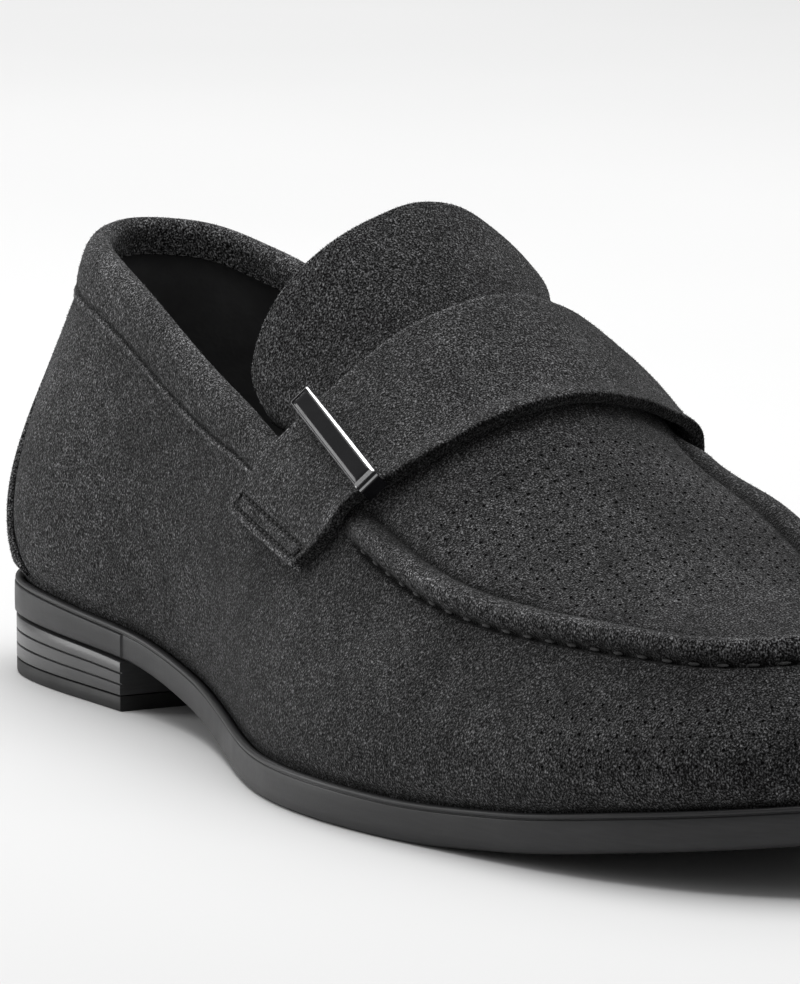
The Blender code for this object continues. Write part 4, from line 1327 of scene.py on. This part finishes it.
def heel_outline():
    """Stations of the heel from the outer breast corner round the back to the inner one."""
    half = np.linspace(0.0, 6.0, 400)
    outer_end = np.interp(HEEL_LENGTH, sole_x(half), half)
    inner_end = np.interp(HEEL_LENGTH, sole_x(TURN - half), half)
    return np.concatenate([np.linspace(outer_end, 0.0, 90), -np.linspace(0.0, inner_end, 90)[1:]])


def heel_block(name, levels, look):
    """Heel layer through (inset, height function) levels, with a flat breast."""
    t = heel_outline()
    made = Gathered()
    rings = []
    for inset, height in levels:
        ring = outline(t, inset - BREAST_FLARE * smooth(*BREAST_RUN, along(t)), 0.0)
        ring[0, 0] = HEEL_LENGTH
        ring[-1, 0] = HEEL_LENGTH
        ring[:, 2] = height(ring[:, 0])
        rings.append(ring)
    rings = np.array(rings)
    made.grid(rings)
    across = np.linspace(0.0, 1.0, 13)[None, :, None]
    made.grid(rings[:, :1] * (1 - across) + rings[:, -1:] * across)
    for ring in (rings[0], rings[-1]):
        half = len(ring) // 2
        rungs = np.linspace(0.0, 1.0, 13)[:, None, None]
        made.grid(ring[:half + 1] * (1 - rungs) + ring[::-1][:half + 1] * rungs)
    mesh = made.mesh(name, [look])
    mesh.set_sharp_from_angle(angle=HEEL_SHARP)
    return mesh


def make_heel(look):
    """Heel of three layers with grooves between them."""
    def level(part, rise=0.0):
        def height(x):
            low = LIFT_HEIGHT + GAP
            return low + (bottom_z(x) - GAP - low) * part + rise
        return height
    levels = [(HEEL_BEVEL, level(0.0)), (0.0, level(0.0, HEEL_BEVEL))]
    for part in (1 / 3, 2 / 3):
        levels += [(inset, level(part, rise)) for inset, rise in GROOVE_SECTION]
    levels += [(0.0, level(1.0, -HEEL_BEVEL)), (HEEL_BEVEL, level(1.0))]
    return heel_block("heel_stack", levels, look)


def make_top_lift(look):
    """Wear layer under the heel, bevelled at the back."""
    run, rise = BACK_BEVEL

    def floor(x):
        return rise * np.clip((run - x) / run, 0.0, 1.0)
    return heel_block("heel_lift", [
        (LIFT_INSET + LIFT_EDGE, floor),
        (LIFT_INSET + 0.3 * LIFT_EDGE, lambda x: floor(x) + 0.3 * LIFT_EDGE),
        (LIFT_INSET, lambda x: floor(x) + LIFT_EDGE),
        (LIFT_INSET, lambda x: np.full_like(x, LIFT_HEIGHT - HEEL_BEVEL)),
        (LIFT_INSET + HEEL_BEVEL, lambda x: np.full_like(x, LIFT_HEIGHT)),
    ], look)


def bar_axes():
    """Straight bar's place: rear end of its underside, directions along, across and out, its length."""
    def over(f, q, height=STRAP_CLEAR + STRAP_THICK):
        return strap_points(f, q, height + stand_off(np.asarray(f, float), np.asarray(q, float)))
    rear, front = over(*np.transpose([PLATE_REAR, PLATE_FRONT]))
    ahead = unit(front - rear)
    middle = (PLATE_REAR[1] + PLATE_FRONT[1]) / 2
    low, high = over([0.5, 0.5], [middle - 0.01, middle + 0.01])
    across = high - low
    across = unit(across - ahead * np.dot(across, ahead))
    out = np.cross(ahead, across)
    f, side = np.meshgrid(np.linspace(0.0, 1.0, 9), np.linspace(-0.02, 0.02, 5))
    q = PLATE_REAR[1] + (PLATE_FRONT[1] - PLATE_REAR[1]) * f + side
    top = over(f, q) - rear
    below = over(f, q, STRAP_CLEAR) - rear
    rise = max(0.0, np.max(top @ out))
    reach = max(np.max(top @ ahead), np.max(below @ ahead))
    return rear + out * (rise + GAP), ahead, across, out, reach


def bar_points(axes, along_bar, across_bar, height):
    """Points of the bar: mm along it from its rear end, mm across it, height over its underside."""
    rear, ahead, across, out, _ = axes
    parts = np.broadcast_arrays(np.asarray(along_bar, float), np.asarray(across_bar, float), height)
    return rear + parts[0][..., None] * ahead + parts[1][..., None] * across + parts[2][..., None] * out


def make_plate_frame(look, dark_look):
    """Bar with a bevelled rim round its pocket, turned down over the strap's front edge."""
    axes = bar_axes()
    reach = axes[4]
    clear, leg, drop = PLATE_TURN
    length = reach + PLATE_SPARE
    half = PLATE_WIDTH / 2
    near, far, end = PLATE_RIMS
    # places across and along the bar with the bevel's drop there; the pocket lies inside the rims
    across_rows = [(away - half, dip) for away, dip in NEAR_BEVEL]
    across_rows += [(near - half, 0.0), (near + POCKET_STEP - half, 0.0)]
    across_rows += [(v, 0.0) for v in (-0.9, 0.0, 0.9)]
    across_rows += [(half - far - POCKET_STEP, 0.0), (half - far, 0.0)]
    across_rows += [(half - away, dip) for away, dip in FAR_BEVEL]
    along_rows = [*REAR_BEVEL, (end, 0.0), (end + POCKET_STEP, 0.0)]
    along_rows += [(u, 0.0) for u in np.linspace(0.9, length - 1.5, 30)]
    along_rows += [(length - FRONT_RIM - POCKET_STEP, 0.0), (length - FRONT_RIM, 0.0)]
    along_rows += [(length - away, dip) for away, dip in FRONT_BEVEL]
    v, v_drop = np.transpose(across_rows)
    u, u_drop = np.transpose(along_rows)
    between = POCKET_STEP / 2
    across_pocket = (v > near + between - half) & (v < half - far - between)
    along_pocket = (u > end + between) & (u < length - FRONT_RIM - between)
    rim = PLATE_THICK - np.maximum(v_drop[:, None], u_drop)
    top = np.where(across_pocket[:, None] & along_pocket, PLATE_FLOOR, rim)
    v, u = np.meshgrid(v, u, indexing="ij")
    v = np.where(v < 0, v * (half - rounded(u, PLATE_CORNER)) / half, v)
    made = Gathered()
    blank = np.zeros_like(u)
    made.shell(bar_points(axes, u, v, 0.0), bar_points(axes, u, v, top), blank, blank)
    # turned end: over the front edge, down its face, back up behind it
    back = reach + clear
    face = back + leg
    start = length - FRONT_BEVEL[0][0]
    low, rise = TURN_ARC
    path = [(start + (face - start) * math.sin(a), low + rise * math.cos(a))
            for a in np.linspace(0.0, math.pi / 2, 9)]
    path += [(face, -drop * part) for part in (0.0, 0.3, 0.6, 0.95)]
    path += [(face - TURN_ROUND, -drop), (back + TURN_ROUND, -drop), (back, -drop + TURN_ROUND)]
    path += [(back, -0.6), (back, 0.15), (start, 0.3)]
    side = np.array([0.03, 0.06, 0.12, 0.3, 0.5, 0.7, 0.88, 0.94, 0.97]) * PLATE_WIDTH - half
    rows = np.array([bar_points(axes, a, side, h) for a, h in path])
    # two bright bands on the turned end, the rest of it dark
    dark = np.ones(len(path), int)
    dark[[0, 4, 5]] = 0
    made.grid(np.concatenate([rows, rows[:1]]), finish=np.repeat(dark[:, None], len(side) - 1, axis=1))
    for column in (0, -1):
        ring = rows[:, column]
        count = len(ring) // 2
        made.grid([ring[:count + 1], ring[::-1][:count + 1]], finish=1)
    mesh = made.mesh("bar_frame", [look, dark_look])
    mesh.set_sharp_from_angle(angle=PLATE_SHARP)
    return mesh


def make_plate_inlay(look):
    """Bare enamel field in the pocket of the bar, a little crowned."""
    axes = bar_axes()
    near, far, end = PLATE_RIMS
    half = PLATE_WIDTH / 2
    first = end + INLAY_CLEAR
    last = axes[4] - FRONT_RIM
    low = near + INLAY_CLEAR - half
    high = half - far - INLAY_CLEAR
    v, u = np.meshgrid(np.linspace(low, high, 11), np.linspace(first, last, 50), indexing="ij")
    edge = np.minimum(np.minimum(u - first, last - u), np.minimum(v - low, high - v))
    sunk, reach = INLAY_BORDER
    top = PLATE_THICK - INLAY_SUNK - sunk * np.exp(-edge / reach)
    blank = np.zeros_like(u)
    made = Gathered()
    made.shell(bar_points(axes, u, v, PLATE_FLOOR + INLAY_CLEAR), bar_points(axes, u, v, top), blank, blank)
    mesh = made.mesh("bar_field", [look])
    mesh.set_sharp_from_angle(angle=PLATE_SHARP)
    return mesh


def new_tree(name, inputs):
    """Geometry tree with a geometry input and output and named inputs."""
    tree = bpy.data.node_groups.new(name, "GeometryNodeTree")
    tree.is_modifier = True
    tree.interface.new_socket("Geometry", in_out="INPUT", socket_type="NodeSocketGeometry")
    tree.interface.new_socket("Geometry", in_out="OUTPUT", socket_type="NodeSocketGeometry")
    for label, kind in inputs:
        tree.interface.new_socket(label, in_out="INPUT", socket_type=kind)
    return tree, tree.nodes.new("NodeGroupInput").outputs


def vector(tree, x, y, z):
    return node(tree, "ShaderNodeCombineXYZ", {"X": x, "Y": y, "Z": z}).outputs["Vector"]


def facing_along(tree, direction, axis):
    """Rotation that turns one axis along a direction."""
    values = {"Vector": direction}
    return node(tree, "FunctionNodeAlignRotationToVector", values, axis=axis).outputs["Rotation"]


def end_tree(tree, points, shape, rotation, size, look):
    """Copies of a shape on points, realized and with their material, as the tree's result."""
    values = {"Points": points, "Instance": shape, "Rotation": rotation, "Scale": size}
    copies = node(tree, "GeometryNodeInstanceOnPoints", values).outputs["Instances"]
    real = node(tree, "GeometryNodeRealizeInstances", {"Geometry": copies}).outputs["Geometry"]
    round_off = node(tree, "GeometryNodeSetShadeSmooth", {"Geometry": real}).outputs["Geometry"]
    painted = node(tree, "GeometryNodeSetMaterial", {"Geometry": round_off, "Material": look})
    node(tree, "NodeGroupOutput", {"Geometry": painted.outputs["Geometry"]})


def grown(name, base, tree, values):
    """Plain mesh that a tree makes from a base mesh."""
    holder = bpy.data.objects.new(name, base)
    bpy.context.scene.collection.objects.link(holder)
    modifier = holder.modifiers.new(name, "NODES")
    modifier.node_group = tree
    for item in tree.interface.items_tree:
        if item.in_out == "INPUT" and item.name in values:
            modifier[item.identifier] = values[item.name]
    depsgraph = bpy.context.evaluated_depsgraph_get()
    mesh = bpy.data.meshes.new_from_object(holder.evaluated_get(depsgraph), depsgraph=depsgraph)
    holder.modifiers.remove(modifier)
    bpy.data.objects.remove(holder)
    if not mesh.polygons:
        raise RuntimeError(name + " came out empty")
    mesh.name = name
    return mesh


def stitch_tree():
    """Rounded stitches at an even pitch along the base lines."""
    tree, given = new_tree("stitch_rows", (
        ("Pitch", "NodeSocketFloat"), ("Length", "NodeSocketFloat"), ("Thickness", "NodeSocketFloat"),
        ("Thread", "NodeSocketMaterial")))
    lines = node(tree, "GeometryNodeMeshToCurve", {"Mesh": given["Geometry"]}).outputs["Curve"]
    values = {"Curve": lines, "Length": given["Pitch"]}
    dots = node(tree, "GeometryNodeCurveToPoints", values, mode="LENGTH").outputs
    turned = facing_along(tree, dots["Tangent"], "X")
    size = vector(tree, given["Length"], given["Thickness"], given["Thickness"])
    values = {"Segments": 8, "Rings": 6, "Radius": 0.5}
    loop = node(tree, "GeometryNodeMeshUVSphere", values).outputs["Mesh"]
    end_tree(tree, dots["Points"], loop, turned, size, given["Thread"])
    return tree


def pinhole_tree():
    """Small dark discs facing along the base points' own direction."""
    tree, given = new_tree("pinholes", (("Width", "NodeSocketFloat"), ("Dark", "NodeSocketMaterial")))
    facing = node(tree, "GeometryNodeInputNamedAttribute", {"Name": "facing"}, data_type="FLOAT_VECTOR")
    turned = facing_along(tree, facing.outputs["Attribute"], "Z")
    values = {"Vertices": 10, "Radius": 0.5}
    disc = node(tree, "GeometryNodeMeshCircle", values, fill_type="NGON").outputs["Mesh"]
    end_tree(tree, given["Geometry"], disc, turned, given["Width"], given["Dark"])
    return tree


def nap_tree():
    """Short tapered fibres scattered over the suede, leaning every way."""
    tree, given = new_tree("nap", (
        ("Density", "NodeSocketFloat"), ("Length", "NodeSocketFloat"), ("Thickness", "NodeSocketFloat"),
        ("Lean", "NodeSocketFloat"), ("Seed", "NodeSocketInt"), ("Fibre", "NodeSocketMaterial")))
    share = node(tree, "GeometryNodeInputNamedAttribute", {"Name": "nap"}, data_type="FLOAT")
    density = maths(tree, "MULTIPLY", share.outputs["Attribute"], given["Density"])
    values = {"Mesh": given["Geometry"], "Density": density, "Seed": given["Seed"]}
    dots = node(tree, "GeometryNodeDistributePointsOnFaces", values, distribute_method="RANDOM").outputs
    back = maths(tree, "MULTIPLY", given["Lean"], -1.0)
    low = vector(tree, back, back, -math.pi)
    high = vector(tree, given["Lean"], given["Lean"], math.pi)
    values = {"Min": low, "Max": high, "Seed": given["Seed"]}
    lean = node(tree, "FunctionNodeRandomValue", values, data_type="FLOAT_VECTOR").outputs["Value"]
    tilt = node(tree, "FunctionNodeEulerToRotation", {"Euler": lean}).outputs["Rotation"]
    values = {"Rotation": dots["Rotation"], "Rotate By": tilt}
    turned = node(tree, "FunctionNodeRotateRotation", values, rotation_space="LOCAL").outputs["Rotation"]
    size = vector(tree, given["Thickness"], given["Thickness"], given["Length"])
    values = {"Vertices": 3, "Radius Top": 0.0, "Radius Bottom": 0.5, "Depth": 1.0}
    hair = node(tree, "GeometryNodeMeshCone", values, fill_type="NONE").outputs["Mesh"]
    end_tree(tree, dots["Points"], hair, turned, size, given["Fibre"])
    return tree


def line_mesh(name, lines):
    """Base mesh of open lines of points."""
    points = []
    edges = []
    for line in lines:
        first = len(points)
        points += packed(line).tolist()
        edges += [(i, i + 1) for i in range(first, len(points) - 1)]
    mesh = bpy.data.meshes.new(name)
    mesh.from_pydata(points, edges, [])
    return mesh


def dot_mesh(name, points, facing):
    """Base mesh of loose points with the direction each one faces."""
    mesh = bpy.data.meshes.new(name)
    mesh.from_pydata(packed(points).tolist(), [], [])
    layer = mesh.attributes.new("facing", "FLOAT_VECTOR", "POINT")
    layer.data.foreach_set("vector", np.asarray(facing, np.float32).ravel())
    return mesh


def strap_lines():
    """Lines of the box stitches at both strap ends."""
    f, q, _, (rear, front, outer, inner) = strap_grid()
    lines = []
    for end in (outer, inner):
        for distance in BOX_STITCH:
            line = []
            for i in range(len(f)):
                if rear[i].min() < BOX_MARGIN[0] or front[i].min() < BOX_MARGIN[1]:
                    continue
                order = np.argsort(end[i])
                line.append((f[i, 0], np.interp(distance, end[i][order], q[i][order])))
            place_f, place_q = np.array(line).T
            lines.append(strap_points(place_f, place_q, STRAP_CLEAR + STRAP_THICK - STITCH_SUNK))
    return lines


def tongue_line():
    """Line of the stitches beside the tongue's free edge."""
    over, out, _ = tongue_sides()
    down = running(over, 0)
    line = []
    for column in range(3, over.shape[1] - 3):
        row = np.interp(TONGUE_SEAM, down[:, column], np.arange(len(down)))
        low = int(row)
        part = row - low
        point = over[low, column] * (1 - part) + over[low + 1, column] * part
        line.append(point - out[low, column] * STITCH_BED)
    return np.array(line)


def facing_line():
    """Line of the stitches along the lower edge of the collar facing."""
    end, over_edge, proud = FACING_STITCH
    t = np.linspace(-end, end, 500)
    down = FACING_DEPTH - over_edge
    s = 1 - down / wall_length(t)
    thick = WALL + (collar_pad(t) - WALL) * facing_part(down)
    return wall(t, s) - wall_normal(t, s) * (thick + proud)[:, None]


def pinhole_places():
    """Staggered pinholes on the apron in front of the strap and on the vamp beside the toe."""
    points = []
    facing = []
    first, last, step, margin, pitch = APRON_HOLES
    for row, k in enumerate(np.arange(first, last, step)):
        width = apron_width(k)
        a = np.arange(margin + pitch / 2 * (row % 2), width - margin, pitch) / width
        points.append(apron(k, a))
        facing.append(apron_normal(np.full_like(a, k), a))
    low, high, rise, first, last, step = VAMP_HOLES
    for row, s in enumerate(np.arange(low, high, rise)):
        t = np.arange(first + step / 2 * (row % 2), last, step)
        share = np.full_like(t, s)
        points.append(wall(t, share))
        facing.append(wall_normal(t, share))
    points = np.concatenate(points)
    facing = np.concatenate(facing)
    lift = LUMP * lumps(points) - creases(points) + HOLE_LIFT
    return points + facing * lift[:, None], facing


class SuedeSettings(bpy.types.PropertyGroup):
    tone: FloatVectorProperty(name="Suede colour", description="Mean colour of the brushed suede", size=3,
                              subtype="COLOR", min=0.0, max=1.0, default=(0.048, 0.048, 0.049))
    # lighter than black lining leather: painted light on the shaded inside of the shoe
    lining: FloatVectorProperty(name="Lining colour", description="Colour of the lining leather", size=3,
                                subtype="COLOR", min=0.0, max=1.0, default=(0.13, 0.13, 0.132))
    sock: FloatVectorProperty(name="Sock colour", description="Colour of the sock lining under the foot",
                              size=3, subtype="COLOR", min=0.0, max=1.0, default=(0.03, 0.03, 0.031))
    # strength of the attribute: lighter cut edges from wear, painted highlights, and painted shade in
    # crevices and grooves
    wear_and_shading: FloatProperty(name="Edge wear", description="How much worn edges lighten and crevices darken",
                        subtype="FACTOR", min=0.0, max=1.0, default=0.9)
    nap_length: FloatProperty(name="Nap length", description="Length of a suede fibre", unit="LENGTH",
                              min=0.0, default=0.00038)
    nap_thickness: FloatProperty(name="Nap thickness", description="Thickness of a suede fibre at its foot",
                                 unit="LENGTH", min=0.0, default=0.0001)
    nap_density: FloatProperty(name="Nap density", description="Fibres on a square metre of suede",
                               min=0.0, default=850000.0)
    nap_seed: IntProperty(name="Nap seed", description="Seed of the scattered fibres", default=7)
    pinhole: FloatProperty(name="Pinhole width", description="Width of a pinhole in the apron",
                           unit="LENGTH", min=0.0, default=0.0006)


class StitchSettings(bpy.types.PropertyGroup):
    thread: FloatVectorProperty(name="Dark thread", description="Colour of the sunk stitches", size=3,
                                subtype="COLOR", min=0.0, max=1.0, default=(0.012, 0.012, 0.012))
    seam: FloatVectorProperty(name="Seam thread", description="Colour of the rolled seam's stitches", size=3,
                              subtype="COLOR", min=0.0, max=1.0, default=(0.035, 0.035, 0.035))
    pale: FloatVectorProperty(name="Pale thread", description="Colour of the fine edge stitches", size=3,
                              subtype="COLOR", min=0.0, max=1.0, default=(0.07, 0.07, 0.07))
    seam_pitch: FloatProperty(name="Apron stitch pitch", description="Pitch of the rolled seam's stitches",
                              unit="LENGTH", min=0.001, default=0.0054)
    seam_thick: FloatProperty(name="Apron thread", description="Thickness of the rolled seam's thread",
                              unit="LENGTH", min=0.0, default=0.0006)
    fine_pitch: FloatProperty(name="Fine stitch pitch", description="Pitch of the strap and tongue stitches",
                              unit="LENGTH", min=0.0005, default=0.0019)
    fine_thick: FloatProperty(name="Fine thread", description="Thickness of the strap and tongue thread",
                              unit="LENGTH", min=0.0, default=0.0004)


class SoleSettings(bpy.types.PropertyGroup):
    rubber: FloatVectorProperty(name="Sole colour", description="Colour of the sole rubber", size=3,
                                subtype="COLOR", min=0.0, max=1.0, default=(0.022, 0.022, 0.023))
    layers: FloatVectorProperty(name="Heel colour", description="Colour of the heel layers", size=3,
                                subtype="COLOR", min=0.0, max=1.0, default=(0.045, 0.045, 0.046))
    lift: FloatVectorProperty(name="Top lift colour", description="Colour of the wear layer", size=3,
                              subtype="COLOR", min=0.0, max=1.0, default=(0.014, 0.014, 0.014))
    metal: FloatVectorProperty(name="Bar colour", description="Colour of the polished bar", size=3,
                               subtype="COLOR", min=0.0, max=1.0, default=(0.82, 0.82, 0.83))
    enamel: FloatVectorProperty(name="Field colour", description="Colour of the bar's bare field", size=3,
                                subtype="COLOR", min=0.0, max=1.0, default=(0.006, 0.006, 0.007))


class StageSettings(bpy.types.PropertyGroup):
    floor: FloatVectorProperty(name="Floor colour", description="Colour of the studio floor", size=3,
                               subtype="COLOR", min=0.0, max=1.0, default=(0.74, 0.74, 0.74))
    sky: FloatProperty(name="Room light", description="Strength of the even light from all round", min=0.0,
                       default=0.29)
    top_power: FloatProperty(name="Top light", description="Power of the large light overhead", unit="POWER",
                             min=0.0, default=25.0)
    side_power: FloatProperty(name="Side light", description="Power of the light beside the heel",
                              unit="POWER", min=0.0, default=4.6)
    back_power: FloatProperty(name="Back light", description="Power of the light over the floor behind",
                              unit="POWER", min=0.0, default=21.5)


class LoaferSettings(bpy.types.PropertyGroup):
    suede: PointerProperty(type=SuedeSettings)
    stitch: PointerProperty(type=StitchSettings)
    sole: PointerProperty(type=SoleSettings)
    stage: PointerProperty(type=StageSettings)


class LOAFER_OT_sole(bpy.types.Operator):
    """Make the outsole, heel layers, top lift and sock lining"""
    bl_idname = "loafer.sole"
    bl_label = "Sole and heel"

    def execute(self, context):
        colours = context.scene.loafer.sole
        rubber = rubber_look("black_rubber", colours.rubber, 0.42)
        layers = rubber_look("heel_layers", colours.layers, 0.34, 0.3)
        lift = rubber_look("top_lift_rubber", colours.lift, 0.55)
        place("rubber_outsole", make_outsole(rubber), ["outsole"])
        place("heel_stack", make_heel(layers), ["heel"])
        place("heel_lift", make_top_lift(lift), ["heel_top_lift"])
        sock = lining_look("sock_lining", context.scene.loafer.suede.sock)
        place("sock_insole", make_insole(sock), ["insole"])
        return {"FINISHED"}


class LOAFER_OT_upper(bpy.types.Operator):
    """Make the suede upper with its collar, rolled seam and lining"""
    bl_idname = "loafer.upper"
    bl_label = "Upper"

    def execute(self, context):
        place("suede_upper", make_upper(context.scene.loafer.stitch), ["upper"])
        return {"FINISHED"}


class LOAFER_OT_trim(bpy.types.Operator):
    """Make the tongue, the saddle strap and the back stay"""
    bl_idname = "loafer.trim"
    bl_label = "Tongue, strap and stay"

    def execute(self, context):
        place("suede_tongue", make_tongue(), ["tongue"])
        place("suede_strap", make_strap(), ["saddle_strap"])
        place("suede_back_stay", make_back_stay(), ["back_stay"])
        return {"FINISHED"}


class LOAFER_OT_bar(bpy.types.Operator):
    """Make the polished bar with its bare field"""
    bl_idname = "loafer.bar"
    bl_label = "Bar"

    def execute(self, context):
        colours = context.scene.loafer.sole
        enamel = enamel_look(colours.enamel)
        metal = metal_look(colours.metal)
        place("bar_frame", make_plate_frame(metal, enamel), ["plate_frame"])
        place("bar_field", make_plate_inlay(enamel), ["plate_inlay"])
        return {"FINISHED"}


class LOAFER_OT_stitches(bpy.types.Operator):
    """Sew the rolled seam, the strap ends, the tongue edge and the facing"""
    bl_idname = "loafer.stitches"
    bl_label = "Stitches"

    def execute(self, context):
        size = context.scene.loafer.stitch
        tree = stitch_tree()
        dark = thread_look("dark_thread", size.thread)
        seam = thread_look("seam_thread", size.seam)
        pale = thread_look("pale_thread", size.pale)
        seam_line = seam_points(np.linspace(*SEAM_ENDS, 700))
        rows = (
            # name, lines, pitch, part of the pitch that shows, thickness, thread
            ("apron_stitches", [seam_line], size.seam_pitch, 0.42, size.seam_thick, seam),
            ("strap_stitches", strap_lines(), size.fine_pitch, 0.8, size.fine_thick, dark),
            ("tongue_stitches", [tongue_line()], 0.8 * size.fine_pitch, 0.7, 0.6 * size.fine_thick, pale),
            ("facing_stitches", [facing_line()], 1.3 * size.fine_pitch, 0.6, 0.8 * size.fine_thick, pale),
        )
        for name, lines, pitch, part, thick, thread in rows:
            values = {"Pitch": pitch, "Length": pitch * part, "Thickness": thick, "Thread": thread}
            place(name, grown(name, line_mesh(name + "_path", lines), tree, values))
        return {"FINISHED"}


class LOAFER_OT_pinholes(bpy.types.Operator):
    """Prick the apron and the vamp"""
    bl_idname = "loafer.pinholes"
    bl_label = "Pinholes"

    def execute(self, context):
        values = {"Width": context.scene.loafer.suede.pinhole, "Dark": hole_look()}
        base = dot_mesh("pinhole_places", *pinhole_places())
        place("pinholes", grown("pinholes", base, pinhole_tree(), values))
        return {"FINISHED"}


class LOAFER_OT_nap(bpy.types.Operator):
    """Brush a short nap over the suede"""
    bl_idname = "loafer.nap"
    bl_label = "Nap"

    def execute(self, context):
        size = context.scene.loafer.suede
        tree = nap_tree()
        values = {"Density": size.nap_density, "Length": size.nap_length, "Thickness": size.nap_thickness,
                  "Lean": NAP_LEAN, "Seed": size.nap_seed, "Fibre": suede()}
        for part in ("upper", "tongue", "strap", "back_stay"):
            base = bpy.data.objects["suede_" + part].data.copy()
            place("nap_" + part, grown("nap_" + part, base, tree, values))
        return {"FINISHED"}


class LOAFER_OT_stage(bpy.types.Operator):
    """Set the floor, the lights and the camera"""
    bl_idname = "loafer.stage"
    bl_label = "Stage"

    def execute(self, context):
        scene = context.scene
        stage = scene.loafer.stage
        make_floor(stage.floor)
        make_lights(stage)
        make_camera()
        scene.view_settings.view_transform = "Standard"
        return {"FINISHED"}


def make_floor(colour):
    """Pale floor in cells, with a faint cloudiness."""
    look, tree, shader = new_look("studio_floor", 0.9, Specular_IOR_Level=0.2)
    cloud = grain(tree, object_space(tree), scale=3.0, detail=2.0, roughness=0.5)
    paint(tree, shader, colour, varied(tree, cloud, 0.985, 1.015))
    mesh = bpy.data.meshes.new("studio_floor")
    count = FLOOR_CELLS + 1
    steps = np.linspace(-FLOOR_HALF, FLOOR_HALF, count)
    points = [(x, y, 0.0) for y in steps for x in steps]
    corners = [row * count + cell for row in range(FLOOR_CELLS) for cell in range(FLOOR_CELLS)]
    faces = [(i, i + 1, i + 1 + count, i + count) for i in corners]
    mesh.from_pydata(points, [], faces)
    mesh.materials.append(look)
    floor = bpy.data.objects.new("studio_floor", mesh)
    bpy.context.scene.collection.objects.link(floor)


def make_lights(stage):
    """Even light from all round and three square lights, each turned to the point it is aimed at."""
    world = bpy.data.worlds.new("studio")
    bpy.context.scene.world = world
    world.use_nodes = True
    backdrop = world.node_tree.nodes["Background"]
    backdrop.inputs["Color"].default_value = (1.0, 1.0, 1.0, 1.0)
    backdrop.inputs["Strength"].default_value = stage.sky
    lights = (
        # name, power, size, place, aimed point
        ("top_light", stage.top_power, 1.6, (-0.15, 0.1, 1.5), (0.0, 0.0, 0.0)),
        ("side_light", stage.side_power, 0.6, (-1.0, -0.8, 0.35), (-0.1, 0.0, 0.04)),
        ("back_light", stage.back_power, 1.6, (-1.95, 0.74, 1.6), (-1.95, 0.74, 0.0)),
    )
    for name, power, size, spot, aim in lights:
        light = bpy.data.lights.new(name, "AREA")
        light.shape = "SQUARE"
        light.size = size
        light.energy = power
        lamp = bpy.data.objects.new(name, light)
        lamp.location = spot
        back = unit(np.array(spot) - np.array(aim))
        lamp.rotation_euler = (math.acos(back[2]), 0.0, math.atan2(back[0], -back[1]))
        bpy.context.scene.collection.objects.link(lamp)


def make_camera():
    """Camera at the photograph's viewing angle."""
    turn = math.radians(CAMERA_TURN)
    rise = math.radians(CAMERA_RISE)
    back = np.array([math.sin(turn) * math.cos(rise), -math.cos(turn) * math.cos(rise), math.sin(rise)])
    data = bpy.data.cameras.new("camera")
    data.sensor_width = SENSOR_WIDTH
    data.lens = FOCAL_PIXELS * data.sensor_width / PICTURE_HEIGHT
    data.clip_end = CAMERA_REACH
    camera = bpy.data.objects.new("camera", data)
    camera.location = packed(np.array(CAMERA_AIM) + back * CAMERA_AWAY)
    camera.rotation_euler = (math.pi / 2 - rise, 0.0, turn)
    bpy.context.scene.collection.objects.link(camera)
    bpy.context.scene.camera = camera


STEPS = (LOAFER_OT_stage, LOAFER_OT_sole, LOAFER_OT_upper, LOAFER_OT_trim, LOAFER_OT_bar, LOAFER_OT_stitches,
         LOAFER_OT_pinholes, LOAFER_OT_nap)


class LOAFER_PT_panel(bpy.types.Panel):
    """Steps and sizes of the loafer"""
    bl_idname = "LOAFER_PT_panel"
    bl_label = "Suede loafer"
    bl_space_type = "VIEW_3D"
    bl_region_type = "UI"
    bl_category = "Loafer"

    def draw(self, context):
        for step in STEPS:
            self.layout.operator(step.bl_idname)
        settings = context.scene.loafer
        for group in (settings.suede, settings.stitch, settings.sole, settings.stage):
            box = self.layout.box()
            for label in group.__annotations__:
                box.prop(group, label)


CLASSES = (SuedeSettings, StitchSettings, SoleSettings, StageSettings, LoaferSettings, *STEPS,
           LOAFER_PT_panel)


def register():
    for made in CLASSES:
        bpy.utils.register_class(made)
    bpy.types.Scene.loafer = PointerProperty(type=LoaferSettings)


def unregister():
    del bpy.types.Scene.loafer
    for made in reversed(CLASSES):
        bpy.utils.unregister_class(made)


def main():
    register()
    bpy.ops.loafer.stage()
    bpy.ops.loafer.sole()
    bpy.ops.loafer.upper()
    bpy.ops.loafer.trim()
    bpy.ops.loafer.bar()
    bpy.ops.loafer.stitches()
    bpy.ops.loafer.pinholes()
    bpy.ops.loafer.nap()


if __name__ == "__main__":
    main()
